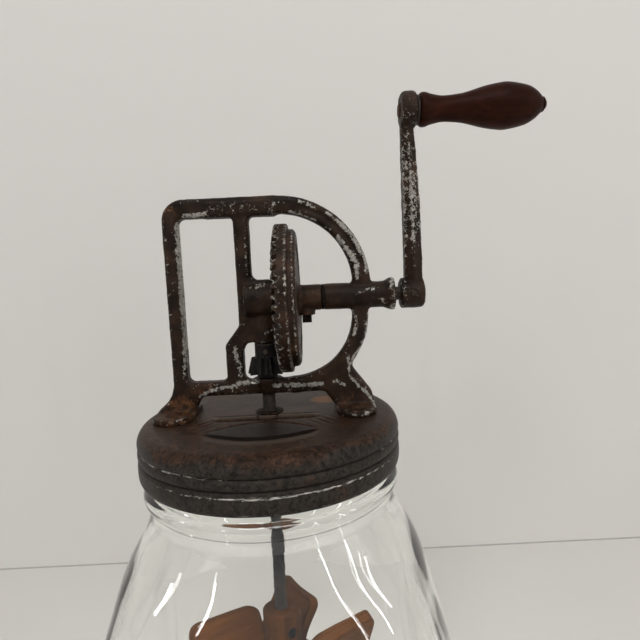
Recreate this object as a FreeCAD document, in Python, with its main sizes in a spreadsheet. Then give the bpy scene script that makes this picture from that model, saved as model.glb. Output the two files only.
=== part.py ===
import FreeCAD, Part
import math
import os
import re
import Sketcher
from FreeCAD import Placement, Rotation, Vector

# Glass butter churn: a square glass jar, a screw lid that carries a cast gear frame,
# a hand crank with a wooden grip, and a wooden dasher that hangs on a steel spindle.
# The origin is the centre of the jar's flat base, +Z is up, the crankshaft points
# along +X and the gear frame stands in the XZ plane. All sizes are millimetres.

doc = FreeCAD.newDocument("GlassButterChurn")

# Driving dimensions
SIZES = {
    # glass jar
    "jar_height": 215.7,
    "jar_width": 170.0,
    "jar_corner": 28.0,
    "jar_wall": 4.0,
    "jar_floor": 7.0,
    "jar_body_height": 84.0,
    "jar_heel": 10.0,
    "shoulder_height": 96.0,
    "neck_radius": 57.4,
    "neck_wall": 4.8,
    "neck_step": 0.4,
    "neck_thread": 1.4,
    "neck_bead": 3.0,
    "neck_bead_height": 8.5,
    # screw lid and its seal
    "lid_radius": 61.5,
    "lid_height": 22.4,
    "lid_wall": 0.9,
    "lid_shoulder": 5.5,
    "lid_band": 6.8,
    "lid_groove": 1.1,
    "seal_thickness": 1.8,
    "seal_width": 4.4,
    "vent_length": 49.0,
    "vent_front": 9.5,
    "vent_back": 11.5,
    "vent_offset": 31.0,
    "vent_lift": 1.5,
    "ferrule_radius": 4.7,
    "ferrule_flange": 6.6,
    "ferrule_rise": 0.9,
    # gear frame casting, heights above the lid
    "frame_depth": 8.0,
    "frame_height": 102.5,
    "bar_height": 8.8,
    "bar_corner": 10.0,
    "post_width": 7.0,
    "left_post": 41.4,
    "mid_post": 8.4,
    "mid_post_width": 7.1,
    "sill_bottom": 9.4,
    "sill_height": 6.8,
    "leg_offset": 14.9,
    "leg_width": 8.3,
    "leg_top": 33.6,
    "bow_radius": 42.8,
    "bow_width": 8.2,
    "bow_centre": 8.3,
    "bow_height": 59.6,
    "heel_radius": 37.6,
    "heel_width": 7.6,
    "heel_centre": 12.0,
    "heel_height": 46.6,
    "left_foot": 44.2,
    "right_foot": 41.7,
    "foot_radius": 9.2,
    "foot_reach": 9.0,
    "foot_thickness": 2.8,
    "foot_flare": 12.0,
    "cast_round": 2.0,
    "cast_fillet": 3.0,
    "pad_rise": 0.7,
    "block_front": 5.2,
    "block_radius": 8.6,
    "block_bottom": 33.9,
    "block_boss": 5.2,
    "boss_start": 29.1,
    "boss_end": 62.3,
    "boss_radius": 6.2,
    "boss_flange": 7.7,
    "flange_width": 3.0,
    "socket_top": 7.0,
    "socket_bottom": 4.6,
    "rivet_radius": 2.2,
    "rivet_head": 4.2,
    "rivet_head_height": 1.1,
    "burr_radius": 4.2,
    "burr_thickness": 0.9,
    # crankshaft, crank arm and grip
    "shaft_height": 54.45,
    "shaft_radius": 3.175,
    "shaft_start": 8.5,
    "running_fit": 0.06,
    "washer_thickness": 0.7,
    "washer_radius": 6.0,
    "arm_start": 65.2,
    "arm_hub_length": 11.0,
    "arm_hub_radius": 7.15,
    "arm_throw": 83.9,
    "arm_eye_length": 7.4,
    "arm_eye_radius": 8.3,
    "arm_inset": 2.4,
    "arm_base_width": 8.0,
    "arm_waist_width": 7.7,
    "arm_tip_width": 5.7,
    "arm_base_depth": 10.4,
    "arm_tip_depth": 8.0,
    "arm_pin_radius": 1.25,
    "grip_rivet_radius": 2.4,
    "grip_rivet_head": 3.7,
    "grip_fit": 0.09,
    "grip_length": 57.0,
    "grip_collar": 7.6,
    "grip_neck": 5.65,
    "grip_belly": 10.2,
    "grip_washer_radius": 6.6,
    # crown gear and pinion, cut on one common apex
    "gear_teeth": 44,
    "pinion_teeth": 10,
    "gear_module": 1.5,
    "gear_addendum": 0.5,
    "pinion_addendum": 1.3,
    "gear_dedendum": 1.75,
    "pinion_dedendum": 1.2,
    "tooth_play": 0.5,
    "gear_outer": 35.0,
    "gear_inner": 28.5,
    "gear_band": 3.5,
    "gear_web": 9.4,
    "gear_disc": 32.3,
    "gear_back": 17.0,
    "gear_hub_radius": 6.1,
    "gear_front_hub": 8.4,
    "hub_gap": 0.3,
    "screw_position": 20.4,
    "screw_radius": 1.95,
    "screw_lug": 4.1,
    "screw_lug_reach": 8.3,
    "screw_head": 4.4,
    "screw_head_height": 3.2,
    "pinion_heel": 35.4,
    "pinion_toe": 27.35,
    "pinion_hub_radius": 5.5,
    "pinion_hub_top": 33.0,
    "pinion_pin_radius": 1.2,
    "spindle_radius": 3.15,
    "spindle_top": 46.5,
    # dasher
    "hub_drop": 101.4,
    "hub_radius": 9.75,
    "hub_tail": 1.5,
    "hub_sole": 12.0,
    "hub_round": 1.6,
    "hub_foot_radius": 21.0,
    "hub_foot_height": 17.0,
    "blade_drop": 110.4,
    "blade_reach": 47.2,
    "blade_length": 36.8,
    "blade_depth": 40.0,
    "blade_thickness": 6.3,
    "blade_corner": 6.0,
    "blade_yaw": 32.6,
    "blade_tilt": 24.5,
    "blade_side": 2.5,
    "nail_bearing": 66.6,
    "nail_radius": 0.95,
    "nail_head": 1.9,
    "nail_length": 13.0,
    "hub_nail_drop": 21.0,
    "hub_nail_turn": 31.0,
}

sheet = doc.addObject("Spreadsheet::Sheet", "Sizes")
for row, (alias, value) in enumerate(SIZES.items(), start=1):
    sheet.set(f"A{row}", alias)
    sheet.set(f"B{row}", str(value))
    sheet.setAlias(f"B{row}", alias)
doc.recompute()

WORDS = re.compile(r"\b(" + "|".join(sorted(SIZES, key=len, reverse=True)) + r")\b")

# Heights that several pieces share, written from the driving dimensions
LID_TOP = "(jar_height + seal_thickness + lid_wall)"
LID_RIM = f"({LID_TOP} - lid_height)"
SHAFT_Z = f"({LID_TOP} + shaft_height)"
GRIP_Z = f"({SHAFT_Z} + arm_throw)"
HUB_TOP = f"({LID_TOP} - hub_drop)"
BLADE_TOP = f"({LID_TOP} - blade_drop)"
HUB_FOOT = f"({BLADE_TOP} - blade_depth - hub_tail)"
SPINDLE_FOOT = f"({HUB_FOOT} + hub_sole)"
GEAR_HUB_END = "(boss_start - washer_thickness - 2 * hub_gap)"
ARM_END = "(arm_start + arm_hub_length)"
EYE_START = "(arm_start + arm_inset + 0.2)"
EYE_END = "(arm_start + arm_inset + 0.2 + arm_eye_length)"
GRIP_START = f"({EYE_END} + washer_thickness + 2 * hub_gap)"
GRIP_END = f"({GRIP_START} + grip_length)"


def linked(text):
    """Turn an expression in plain words into one that reads the sheet."""
    return WORDS.sub(r"Sizes.\1", str(text))


def value(text):
    """The number that an expression in plain words stands for."""
    return float(sheet.evalExpression(str(text)))


def bind(target, **sizes):
    """Bind properties of an object to the sheet; x, y and z are its place."""
    for name, text in sizes.items():
        path = f".Placement.Base.{name}" if name in ("x", "y", "z") else name
        target.setExpression(path, linked(text))
    return target


TURNS = {
    "z": Rotation(),
    "-z": Rotation(Vector(1, 0, 0), 180),
    "x": Rotation(Vector(0, 1, 0), 90),
    "y": Rotation(Vector(1, 0, 0), -90),
}


def rod(name, radius, length, x="0", y="0", z="0", axis="z"):
    piece = doc.addObject("Part::Cylinder", name)
    piece.Placement = Placement(Vector(), TURNS[axis])
    return bind(piece, Radius=radius, Height=length, x=x, y=y, z=z)


def cone(name, first, second, length, x="0", y="0", z="0", axis="z"):
    piece = doc.addObject("Part::Cone", name)
    piece.Placement = Placement(Vector(), TURNS[axis])
    return bind(piece, Radius1=first, Radius2=second, Height=length, x=x, y=y, z=z)


def block(name, length, width, height, x="0", y="0", z="0"):
    piece = doc.addObject("Part::Box", name)
    return bind(piece, Length=length, Width=width, Height=height, x=x, y=y, z=z)


def joined(name, pieces):
    piece = doc.addObject("Part::MultiFuse", name)
    piece.Shapes = pieces
    piece.Refine = True
    return piece


def bored(name, base, tools):
    piece = doc.addObject("Part::Cut", name)
    piece.Base = base
    piece.Tool = tools[0] if len(tools) == 1 else joined(name + "_cutters", tools)
    return piece


def drawn(name, shape):
    piece = doc.addObject("Part::Feature", name)
    piece.Shape = shape
    return piece


def rounded(name, source, radius, wanted):
    """Round the edges of a source for which the test wanted(edge) is true."""
    doc.recompute()
    piece = doc.addObject("Part::Fillet", name)
    piece.Base = source
    numbered = enumerate(source.Shape.Edges, start=1)
    piece.Edges = [(number, radius, radius) for number, edge in numbered if wanted(edge)]
    return piece


def runs_along(direction):
    """A test for straight edges that run along a direction."""
    def test(edge):
        if not isinstance(edge.Curve, Part.Line):
            return False
        return edge.tangentAt(edge.FirstParameter).cross(direction).Length < 1e-6
    return test


def arc_between(start, end, radius, way):
    """The shorter arc from start to end that turns left (way 1) or right (way -1)."""
    chord = end - start
    left = Vector(-chord.y, chord.x, 0).normalize() * way
    sag = math.sqrt(radius ** 2 - (chord.Length / 2) ** 2)
    centre = (start + end) * 0.5 + left * sag
    middle = centre - left * radius
    return Part.Arc(start, middle, end) if way > 0 else Part.Arc(end, middle, start)


def outline(body, name, points):
    """A closed sketch in the XZ plane: each point is (across, up), followed by
    a radius and the way it turns where the side that follows is round."""
    sketch = body.newObject("Sketcher::SketchObject", name)
    origin = [part for part in body.Origin.OriginFeatures if part.Role == "XZ_Plane"][0]
    sketch.AttachmentSupport = [(origin, "")]
    sketch.MapMode = "FlatFace"
    count = len(points)
    places = [Vector(value(point[0]), value(point[1]), 0) for point in points]
    ends = []
    for index, point in enumerate(points):
        start = places[index]
        end = places[(index + 1) % count]
        is_arc = len(point) == 4
        if is_arc:
            sketch.addGeometry(arc_between(start, end, value(point[2]), point[3]))
        else:
            sketch.addGeometry(Part.LineSegment(start, end))
        ends.append((2, 1) if is_arc and point[3] < 0 else (1, 2))
    for index, point in enumerate(points):
        for letter, text in (("DistanceX", point[0]), ("DistanceY", point[1])):
            rule = Sketcher.Constraint(letter, index, ends[index][0], value(text))
            sketch.setExpression(f"Constraints[{sketch.addConstraint(rule)}]", linked(text))
        if len(point) == 4:
            rule = Sketcher.Constraint("Radius", index, value(point[2]))
            sketch.setExpression(f"Constraints[{sketch.addConstraint(rule)}]", linked(point[2]))
    for index in range(count):
        following = (index + 1) % count
        sketch.addConstraint(Sketcher.Constraint(
            "Coincident", index, ends[index][1], following, ends[following][0]))
    return sketch


def turned(name, points, axis="V_Axis"):
    """A body turned from an outline in the XZ plane about its upright or level axis."""
    body = doc.addObject("PartDesign::Body", name)
    sketch = outline(body, name + "_outline", points)
    doc.recompute()
    turn = body.newObject("PartDesign::Revolution", name + "_turn")
    turn.Profile = sketch
    turn.ReferenceAxis = (sketch, [axis])
    turn.Angle = 360
    body.Tip = turn
    return body


def named(piece, label):
    piece.Label = label
    nodes.append(piece)
    return piece


nodes = []

# Glass jar: a square body with rounded corners, long sloping shoulders and a round
# neck with two thread beads and a transfer bead under the lid


def jar_section(half, corner, bow, height):
    """One level outline: four bowed sides joined by four corner arcs."""
    side = half - bow
    reach = bow - corner
    centre = (side + math.sqrt(2 * reach ** 2 - side ** 2)) / 2
    swing = math.atan2(centre, centre - side)
    edges = []
    for quarter in range(4):
        turn = Rotation(Vector(0, 0, 1), 90 * quarter)

        def at(middle, radius, angle):
            spot = middle + Vector(radius * math.cos(angle), radius * math.sin(angle), 0)
            return turn.multVec(spot) + Vector(0, 0, height)

        flank = Vector(side, 0, 0)
        bend = Vector(centre, centre, 0)
        edges.append(Part.Arc(at(flank, bow, -swing), at(flank, bow, 0),
                              at(flank, bow, swing)).toShape())
        edges.append(Part.Arc(at(bend, corner, swing), at(bend, corner, math.pi / 4),
                              at(bend, corner, math.pi / 2 - swing)).toShape())
    return Part.Wire(edges)


def jar_loft(inset, floor):
    """The jar's body from its floor to the foot of its neck, drawn in by a wall."""
    half = value("jar_width") / 2
    corner = value("jar_corner")
    neck = value("neck_radius")
    body_top = value("jar_body_height")
    rise = value("shoulder_height")
    heel = value("jar_heel")
    swell = half - neck
    collar = neck - value("neck_step")
    # half width, corner radius, bow of the sides, height
    rows = [
        (half - heel * 0.9, corner - 2, half * 6, floor),
        (half - heel * 0.3, corner, half * 8, floor + heel * 0.22),
        (half, corner, half * 8, floor + heel),
        (half, corner, half * 8, body_top * 0.6),
        (half, corner, half * 6.5, body_top),
        (neck + swell * 0.93, corner * 1.05, half * 5.0, body_top + rise * 0.165),
        (neck + swell * 0.775, corner * 1.18, half * 2.6, body_top + rise * 0.375),
        (neck + swell * 0.605, corner * 1.38, half * 1.75, body_top + rise * 0.565),
        (neck + swell * 0.43, corner * 1.65, half * 1.25, body_top + rise * 0.73),
        (neck + swell * 0.145, corner * 1.9, half * 0.92, body_top + rise * 0.875),
        (collar, collar * 0.9903, collar * 1.012, body_top + rise),
    ]
    sections = [jar_section(size - inset, bend - inset, bow - inset, level)
                for size, bend, bow, level in rows]
    foot = Part.makeLoft(sections[:3], True, False)
    body = Part.makeLoft(sections[2:], True, False)
    return foot.fuse(body)


shoulder_top = value("jar_body_height + shoulder_height")
mouth = value("jar_height")
neck_radius = value("neck_radius")
jar_outside = jar_loft(0.0, 0.0)
neck_outside = Part.makeCylinder(neck_radius, mouth - shoulder_top, Vector(0, 0, shoulder_top))
bead_radius = value("neck_bead_height") / 2
bead_level = value(f"{LID_RIM} - 3.4") - bead_radius
bead = Part.makeTorus(neck_radius + value("neck_bead") - bead_radius, bead_radius,
                      Vector(0, 0, bead_level))
threads = []
for turn in (0.5, 1.5):
    level = value(f"{LID_RIM} + lid_band * {turn}")
    threads.append(Part.makeTorus(neck_radius, value("neck_thread"), Vector(0, 0, level)))
jar_solid = jar_outside.fuse([neck_outside, bead] + threads)
jar_inside = jar_loft(value("jar_wall"), value("jar_floor"))
bore = Part.makeCylinder(neck_radius - value("neck_wall"), mouth - shoulder_top + 20,
                         Vector(0, 0, shoulder_top - 6))
glass = jar_solid.cut([jar_inside, bore]).removeSplitter()

# The jar is one piece of glass. It is kept as three nodes that meet at level planes, low on
# the shoulder and at the neck's foot, so that each has its own collision pieces and the
# mouth stays open.
reach = value("jar_width")
shoulder_low = value("jar_body_height + shoulder_height * 0.35")
neck_low = shoulder_top - 2
above = Part.makeBox(reach * 2, reach * 2, mouth, Vector(-reach, -reach, shoulder_low))
around = Part.makeBox(reach * 2, reach * 2, mouth, Vector(-reach, -reach, neck_low))
glass_jar = named(drawn("Jar", glass.cut(above)), "glass_jar")
jar_shoulder = named(drawn("JarShoulder", glass.common(above).cut(around)), "jar_shoulder")
jar_neck = named(drawn("JarNeck", glass.common(around)), "jar_neck")

# Screw lid: a pressed tin cap with two rolled bands, a raised vent flap, a hole for the
# spindle and four rivet holes; the flap lets air and buttermilk out at its front edge
GROOVE = "(lid_radius - lid_groove)"
INSIDE = "(lid_radius - lid_wall)"
SHELL = [
    ("0", "lid_height"),
    ("lid_radius - lid_shoulder", "lid_height", "lid_shoulder", -1),
    ("lid_radius", "lid_height - lid_shoulder"),
    ("lid_radius", "lid_band * 2 + 0.9"),
    (GROOVE, "lid_band * 2"),
    ("lid_radius", "lid_band * 2 - 1.3", "lid_band * 2.5", -1),
    ("lid_radius", "lid_band + 0.9"),
    (GROOVE, "lid_band"),
    ("lid_radius", "lid_band - 1.3", "lid_band * 2.5", -1),
    ("lid_radius", "0.7"),
    ("lid_radius - 0.4", "0"),
    (INSIDE, "0"),
    (INSIDE, "lid_band - 1.3"),
    (f"{GROOVE} - lid_wall", "lid_band"),
    (INSIDE, "lid_band + 1.1"),
    (INSIDE, "lid_band * 2 - 1.3"),
    (f"{GROOVE} - lid_wall", "lid_band * 2"),
    (INSIDE, "lid_band * 2 + 1.1"),
    (INSIDE, "lid_height - lid_shoulder", "lid_shoulder - lid_wall", 1),
    ("lid_radius - lid_shoulder", "lid_height - lid_wall"),
    ("0", "lid_height - lid_wall"),
]
lid_shell = bind(turned("LidShell", SHELL), z=LID_RIM)


def vent_lens(name, grow, thickness):
    """A lens of two arcs about the vent's chord, set down at the lid's level."""
    half = value("vent_length") / 2 + grow
    front = Vector(0, -value("vent_front") - grow, 0)
    back = Vector(0, value("vent_back") + grow, 0)
    left = Vector(-half, 0, 0)
    right = Vector(half, 0, 0)
    sides = [Part.Arc(left, front, right).toShape(), Part.Arc(right, back, left).toShape()]
    return drawn(name, Part.Face(Part.Wire(sides)).extrude(Vector(0, 0, thickness)))


vent_place = Vector(-2.0, -value("vent_offset"), value(LID_TOP))
vent_hole = vent_lens("VentHole", -2.0, 6.0)
vent_hole.Placement = Placement(vent_place - Vector(0, 0, 3.0), Rotation())
vent_rise = math.degrees(math.atan2(value("vent_lift"), value("vent_front + vent_back")))
vent_flap = vent_lens("VentFlap", 0.0, value("lid_wall"))
flap_turn = Rotation(Vector(1, 0, 0), -vent_rise)
hinge = Vector(0, value("vent_back"), 0)
vent_flap.Placement = Placement(vent_place - Vector(0, 0, value("lid_wall") * 0.75)
                                + hinge - flap_turn.multVec(hinge), flap_turn)

RIVET_SPOTS = [(foot, side) for foot in ("-left_foot", "right_foot") for side in (-1, 1)]
lid_holes = [rod("LidBore", "ferrule_radius", "20", z=f"{LID_TOP} - 10")]
for index, (foot, side) in enumerate(RIVET_SPOTS, start=1):
    lid_holes.append(rod(f"LidRivetHole{index}", "rivet_radius", "20", x=foot,
                         y=f"{side} * foot_reach", z=f"{LID_TOP} - 10"))
pierced_lid = bored("PiercedLid", lid_shell, lid_holes + [vent_hole])
screw_lid = named(joined("Lid", [pierced_lid, vent_flap]), "screw_lid")

# Seal: the ring that the mouth of the jar presses against
SEAL_OUTER = "(lid_radius - lid_shoulder)"
seal_disc = rod("SealDisc", SEAL_OUTER, "seal_thickness", z="jar_height")
seal_bore = rod("SealBore", f"{SEAL_OUTER} - seal_width", "seal_thickness + 2",
                z="jar_height - 1")
lid_seal = named(bored("Seal", seal_disc, [seal_bore]), "lid_seal")

# Spindle ferrule: a flanged collar soldered in the middle of the lid
ferrule_body = joined("FerruleBody", [
    rod("FerruleTube", "ferrule_radius", "lid_wall + ferrule_rise + 3",
        z=f"{LID_TOP} - lid_wall - 3"),
    rod("FerruleFlange", "ferrule_flange", "ferrule_rise * 0.5", z=LID_TOP)])
ferrule = named(bored("Ferrule", ferrule_body, [
    rod("FerruleBore", "spindle_radius + 0.35", "20", z=f"{LID_TOP} - 10")]), "spindle_ferrule")

# Gear frame: one casting of rounded bars, with two feet, a bowed back, a bearing block
# for the crankshaft and the spindle, and a long outer bearing
LEFT = "-left_post - post_width / 2"


def flat(points):
    """A face in the XZ plane from corners (across, height above the lid)."""
    corners = [Vector(value(x), 0, value(f"{LID_TOP} + {z}")) for x, z in points]
    return Part.Face(Part.makePolygon(corners + corners[:1]))


def flat_bar(left, right, bottom, top):
    return flat([(left, bottom), (right, bottom), (right, top), (left, top)])


def flat_bow(x, z, outer, width, first, last):
    """Part of a flat ring between two angles above +X."""
    centre = Vector(value(x), 0, value(f"{LID_TOP} + {z}"))
    large = value(outer)
    small = value(f"{outer} - {width}")

    def at(radius, angle):
        turn = math.radians(angle)
        return centre + Vector(radius * math.cos(turn), 0, radius * math.sin(turn))

    half_way = (first + last) / 2
    return Part.Face(Part.Wire([
        Part.Arc(at(large, first), at(large, half_way), at(large, last)).toShape(),
        Part.LineSegment(at(large, last), at(small, last)).toShape(),
        Part.Arc(at(small, last), at(small, half_way), at(small, first)).toShape(),
        Part.LineSegment(at(small, first), at(large, first)).toShape(),
    ]))


def eased(wire, distances):
    """The face inside a wire, with its corners rounded by offsets there and back."""
    face = Part.Face(wire)
    for distance in distances:
        for step in (distance, -distance):
            face = Part.Face(face.makeOffset2D(step).Wires[0])
    return face


posts = [
    flat_bar(LEFT, "-left_post + post_width / 2", "sill_bottom", "frame_height - bar_corner"),
    flat_bar("-mid_post - mid_post_width / 2", "-mid_post + mid_post_width / 2",
             "block_bottom + 0.4", "frame_height - 1"),
    flat_bar("-mid_post", "block_front - 0.2", "block_bottom + 0.4",
             "shaft_height + block_radius + 0.9"),
    flat([
        ("-leg_offset - leg_width / 2", "sill_bottom + 2"),
        ("-leg_offset + leg_width / 2", "sill_bottom + 2"),
        ("-leg_offset + leg_width / 2", "leg_top - 3"),
        ("-mid_post + 1", "leg_top + 3"),
        ("-mid_post + 1", "leg_top + 9"),
        ("-mid_post - mid_post_width / 2", "leg_top + 9"),
        ("-leg_offset - leg_width / 2", "leg_top"),
    ]),
]
bars = [
    flat_bow(f"{LEFT} + bar_corner", "frame_height - bar_corner", "bar_corner", "post_width",
             90, 180),
    flat_bar(f"{LEFT} + bar_corner", "bow_centre", "frame_height - bar_height", "frame_height"),
    flat_bar(LEFT, "right_foot", "sill_bottom", "sill_bottom + sill_height"),
    flat_bow("bow_centre", "bow_height", "bow_radius", "bow_width", -14, 90),
    flat_bow("heel_centre", "heel_height", "heel_radius", "heel_width", -90, 12),
    flat_bar("boss_start + 1", "boss_end - flange_width", "shaft_height - boss_radius + 1",
             "shaft_height + boss_radius - 1"),
]
ankles = [
    flat([
        ("right_foot - 14.6", "sill_bottom"),
        ("right_foot - 8.4", "0.4"),
        ("right_foot + 8.8", "0.4"),
        ("right_foot + 9.6", "foot_thickness"),
        ("right_foot + 8", "sill_bottom - 1"),
        ("right_foot", "sill_bottom + 10"),
        ("right_foot - 2.5", "sill_bottom + 15"),
        ("right_foot - 8", "sill_bottom + 14"),
        ("right_foot - 17.5", "sill_bottom + 4"),
    ]),
    flat([
        ("-left_foot - 8.8", "0.4"),
        ("-left_foot + 7.4", "0.4"),
        ("-left_foot + 12.5", "sill_bottom"),
        ("-left_foot + 13", "sill_bottom + 3"),
        ("-left_post + post_width / 2", "sill_bottom + 7"),
        (LEFT, "sill_bottom + 6"),
        (f"{LEFT} - 1.8", "sill_bottom - 0.6"),
        ("-left_foot - 9.6", "foot_thickness"),
    ]),
]
web = posts[0].fuse(posts[1:] + bars + ankles).removeSplitter().Faces[0]
fillet = value("cast_fillet")
edge_round = value("cast_round") * 1.1
windows = [eased(wire, [-fillet, edge_round]) for wire in web.Wires
           if not wire.isSame(web.OuterWire)]
profile = eased(web.OuterWire, [fillet, -edge_round]).cut(windows).Faces[0]
depth = value("frame_depth")
slab = profile.extrude(Vector(0, depth, 0)).translated(Vector(0, -depth / 2, 0))
rims = [edge for edge in slab.Edges
        if all(abs(abs(vertex.Point.y) - depth / 2) < 1e-6 for vertex in edge.Vertexes)]
frame_plate = drawn("FramePlate", slab.makeFillet(value("cast_round"), rims))

pad_core = block("BarePadCore", "33", "frame_depth + pad_rise * 2", "bar_height - 0.6",
                 x="bow_centre - 33.5", y="-frame_depth / 2 - pad_rise",
                 z=f"{LID_TOP} + frame_height - bar_height - 0.4")
name_pad = rounded("BarePad", pad_core, value("cast_round"), runs_along(Vector(1, 0, 0)))

feet = []
# each foot with the way that its flare leans to meet the post above it
for index, (foot, lean) in enumerate((("-left_foot", "left_foot - left_post"),
                                      ("right_foot", "-1.5")), start=1):
    slab = block(f"FootSlab{index}", "foot_radius * 2", "foot_reach * 2", "foot_thickness",
                 x=f"{foot} - foot_radius", y="-foot_reach", z=LID_TOP)
    feet.append(slab)
    for side in (-1, 1):
        feet.append(rod(f"FootPad{index}{'n' if side < 0 else 'p'}", "foot_radius",
                        "foot_thickness", x=foot, y=f"{side} * foot_reach", z=LID_TOP))
    flare = doc.addObject("Part::Wedge", f"FootFlare{index}")
    bind(flare, Xmin="-7", Xmax="7", Zmin="-frame_depth * 0.6", Zmax="frame_depth * 0.6",
         Ymin="0", Ymax="foot_flare", X2min=f"{lean} - 2", X2max=f"{lean} + 2",
         Z2min="1.2 - frame_depth / 2", Z2max="frame_depth / 2 - 1.2",
         x=foot, y="0", z=f"{LID_TOP} + foot_thickness - 0.2")
    flare.Placement.Rotation = Rotation(Vector(1, 0, 0), 90)
    feet.append(flare)

bearings = [
    rod("BlockBearing", "block_radius", "mid_post + mid_post_width / 2 + block_front - 3.5",
        x="-mid_post - mid_post_width / 2 + 3.5", z=SHAFT_Z, axis="x"),
    rod("SpindleBoss", "block_boss", "shaft_height - block_bottom",
        z=f"{LID_TOP} + block_bottom"),
    rod("OuterBearing", "boss_radius", "boss_end - boss_start", x="boss_start", z=SHAFT_Z,
        axis="x"),
    cone("FlangeCone", "boss_radius", "boss_flange", "flange_width",
         x="boss_end - 2 * flange_width + 0.8", z=SHAFT_Z, axis="x"),
    rod("Flange", "boss_flange", "flange_width - 0.8", x="boss_end - flange_width + 0.8",
        z=SHAFT_Z, axis="x"),
    cone("SpindleSocket", "socket_bottom", "socket_top", "sill_height + 0.8",
         z=f"{LID_TOP} + sill_bottom"),
]
casting = joined("Casting", [frame_plate, name_pad] + feet + bearings)
frame_bores = [
    rod("InnerBore", "shaft_radius + running_fit", "shaft_start + block_front + 1.5",
        x="-shaft_start - 0.5", z=SHAFT_Z, axis="x"),
    rod("OuterBore", "shaft_radius + running_fit", "boss_end - boss_start + 2",
        x="boss_start - 1", z=SHAFT_Z, axis="x"),
    rod("OilHole", "1.4", "boss_flange + 4", x="boss_start + 13", z=SHAFT_Z),
    rod("SpindleBore", "spindle_radius + running_fit", "spindle_top - sill_bottom + 3.5",
        z=f"{LID_TOP} + sill_bottom - 2"),
]
for index, (foot, side) in enumerate(RIVET_SPOTS, start=1):
    frame_bores.append(rod(f"FootHole{index}", "rivet_radius", "20", x=foot,
                           y=f"{side} * foot_reach", z=f"{LID_TOP} - 5"))
gear_frame = named(bored("Frame", casting, frame_bores), "gear_frame")

# Frame rivets and the burrs that they are closed on under the lid
rivets = []
burrs = []
for index, (foot, side) in enumerate(RIVET_SPOTS, start=1):
    place = {"x": foot, "y": f"{side} * foot_reach"}
    grip_height = "(lid_wall + burr_thickness + foot_thickness)"
    shank = rod(f"RivetShank{index}", "rivet_radius", f"{grip_height} + 0.6",
                z=f"{LID_TOP} - lid_wall - burr_thickness - 0.6", **place)
    head = cone(f"RivetHead{index}", "rivet_head", "rivet_head * 0.55", "rivet_head_height",
                z=f"{LID_TOP} + foot_thickness", **place)
    rivets.append(joined(f"Rivet{index}", [shank, head]))
    disc = rod(f"BurrDisc{index}", "burr_radius", "burr_thickness",
               z=f"{LID_TOP} - lid_wall - burr_thickness", **place)
    hole = rod(f"BurrHole{index}", "rivet_radius", "10", z=f"{LID_TOP} - 8", **place)
    burrs.append(bored(f"Burr{index}", disc, [hole]))


def grouped(name, pieces):
    group = doc.addObject("Part::Compound", name)
    group.Links = pieces
    return group


frame_rivets = named(grouped("Rivets", rivets), "frame_rivets")
rivet_burrs = named(grouped("Burrs", burrs), "rivet_burrs")

# Crankshaft with the two cross holes for the arm's pin
arm_pin_x = "(arm_start + arm_hub_length / 2)"
shaft_bar = rod("ShaftBar", "shaft_radius", f"{ARM_END} - 0.3 + shaft_start", x="-shaft_start",
                z=SHAFT_Z, axis="x")
arm_pin_hole = rod("ArmPinHole", "arm_pin_radius", "40", x=arm_pin_x, y="-20", z=SHAFT_Z,
                   axis="y")
crank_shaft = named(bored("Shaft", shaft_bar, [arm_pin_hole]), "crank_shaft")

# Crown gear: a dished wheel whose teeth face the spindle; every tooth runs to the point
# where the two axes cross
PITCH = "(gear_module * gear_teeth / 2)"
PINION_PITCH = "(gear_module * pinion_teeth / 2)"
ROOT_SLOPE = f"(({PINION_PITCH} + gear_dedendum) / {PITCH})"
wheel = bind(turned("Wheel", [
    ("block_front + hub_gap", "shaft_radius"),
    ("block_front + hub_gap", "gear_front_hub - 0.8"),
    ("block_front + hub_gap + 0.8", "gear_front_hub"),
    ("gear_web", "gear_front_hub + 0.6"),
    ("gear_web", "gear_inner - 2"),
    (f"{ROOT_SLOPE} * (gear_inner - 1)", "gear_inner - 1"),
    (f"{ROOT_SLOPE} * gear_outer", "gear_outer"),
    (f"{ROOT_SLOPE} * gear_outer + gear_band - 0.6", "gear_outer"),
    (f"{ROOT_SLOPE} * gear_outer + gear_band", "gear_outer - 0.7"),
    (f"{ROOT_SLOPE} * gear_outer + gear_band", "gear_disc"),
    ("gear_back - 1.2", "gear_disc"),
    ("gear_back", "gear_disc - 1.6"),
    ("gear_back", "gear_disc - 4.5"),
    ("gear_back - 1", "gear_disc - 5.5"),
    ("gear_back - 1", "gear_disc - 9.5"),
    ("gear_back - 0.3", "gear_disc - 10.3"),
    ("gear_back - 0.3", "gear_hub_radius + 1.5"),
    ("gear_back + 1.2", "gear_hub_radius"),
    (f"{GEAR_HUB_END} - 0.6", "gear_hub_radius"),
    (GEAR_HUB_END, "gear_hub_radius - 0.6"),
    (GEAR_HUB_END, "shaft_radius"),
], "H_Axis"), z=SHAFT_Z)


def crown_tooth(distance, slope_extra):
    """The tooth's outline across its length, at a distance from the crossing point."""
    ratio = distance / value(PITCH)
    pitch_x = value(PINION_PITCH) * ratio
    half_gap = math.pi * value("gear_module") / 4 - value("tooth_play") / 2
    lean = math.tan(math.radians(20))
    addendum = value("gear_addendum")
    depth = value("gear_dedendum") + slope_extra
    tip = (half_gap - addendum * lean) * ratio
    foot = (half_gap + depth * lean) * ratio
    corners = [
        Vector(pitch_x - addendum * ratio, -tip, -distance),
        Vector(pitch_x + depth * ratio, -foot, -distance),
        Vector(pitch_x + depth * ratio, foot, -distance),
        Vector(pitch_x - addendum * ratio, tip, -distance),
    ]
    return Part.makePolygon(corners + corners[:1])


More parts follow.
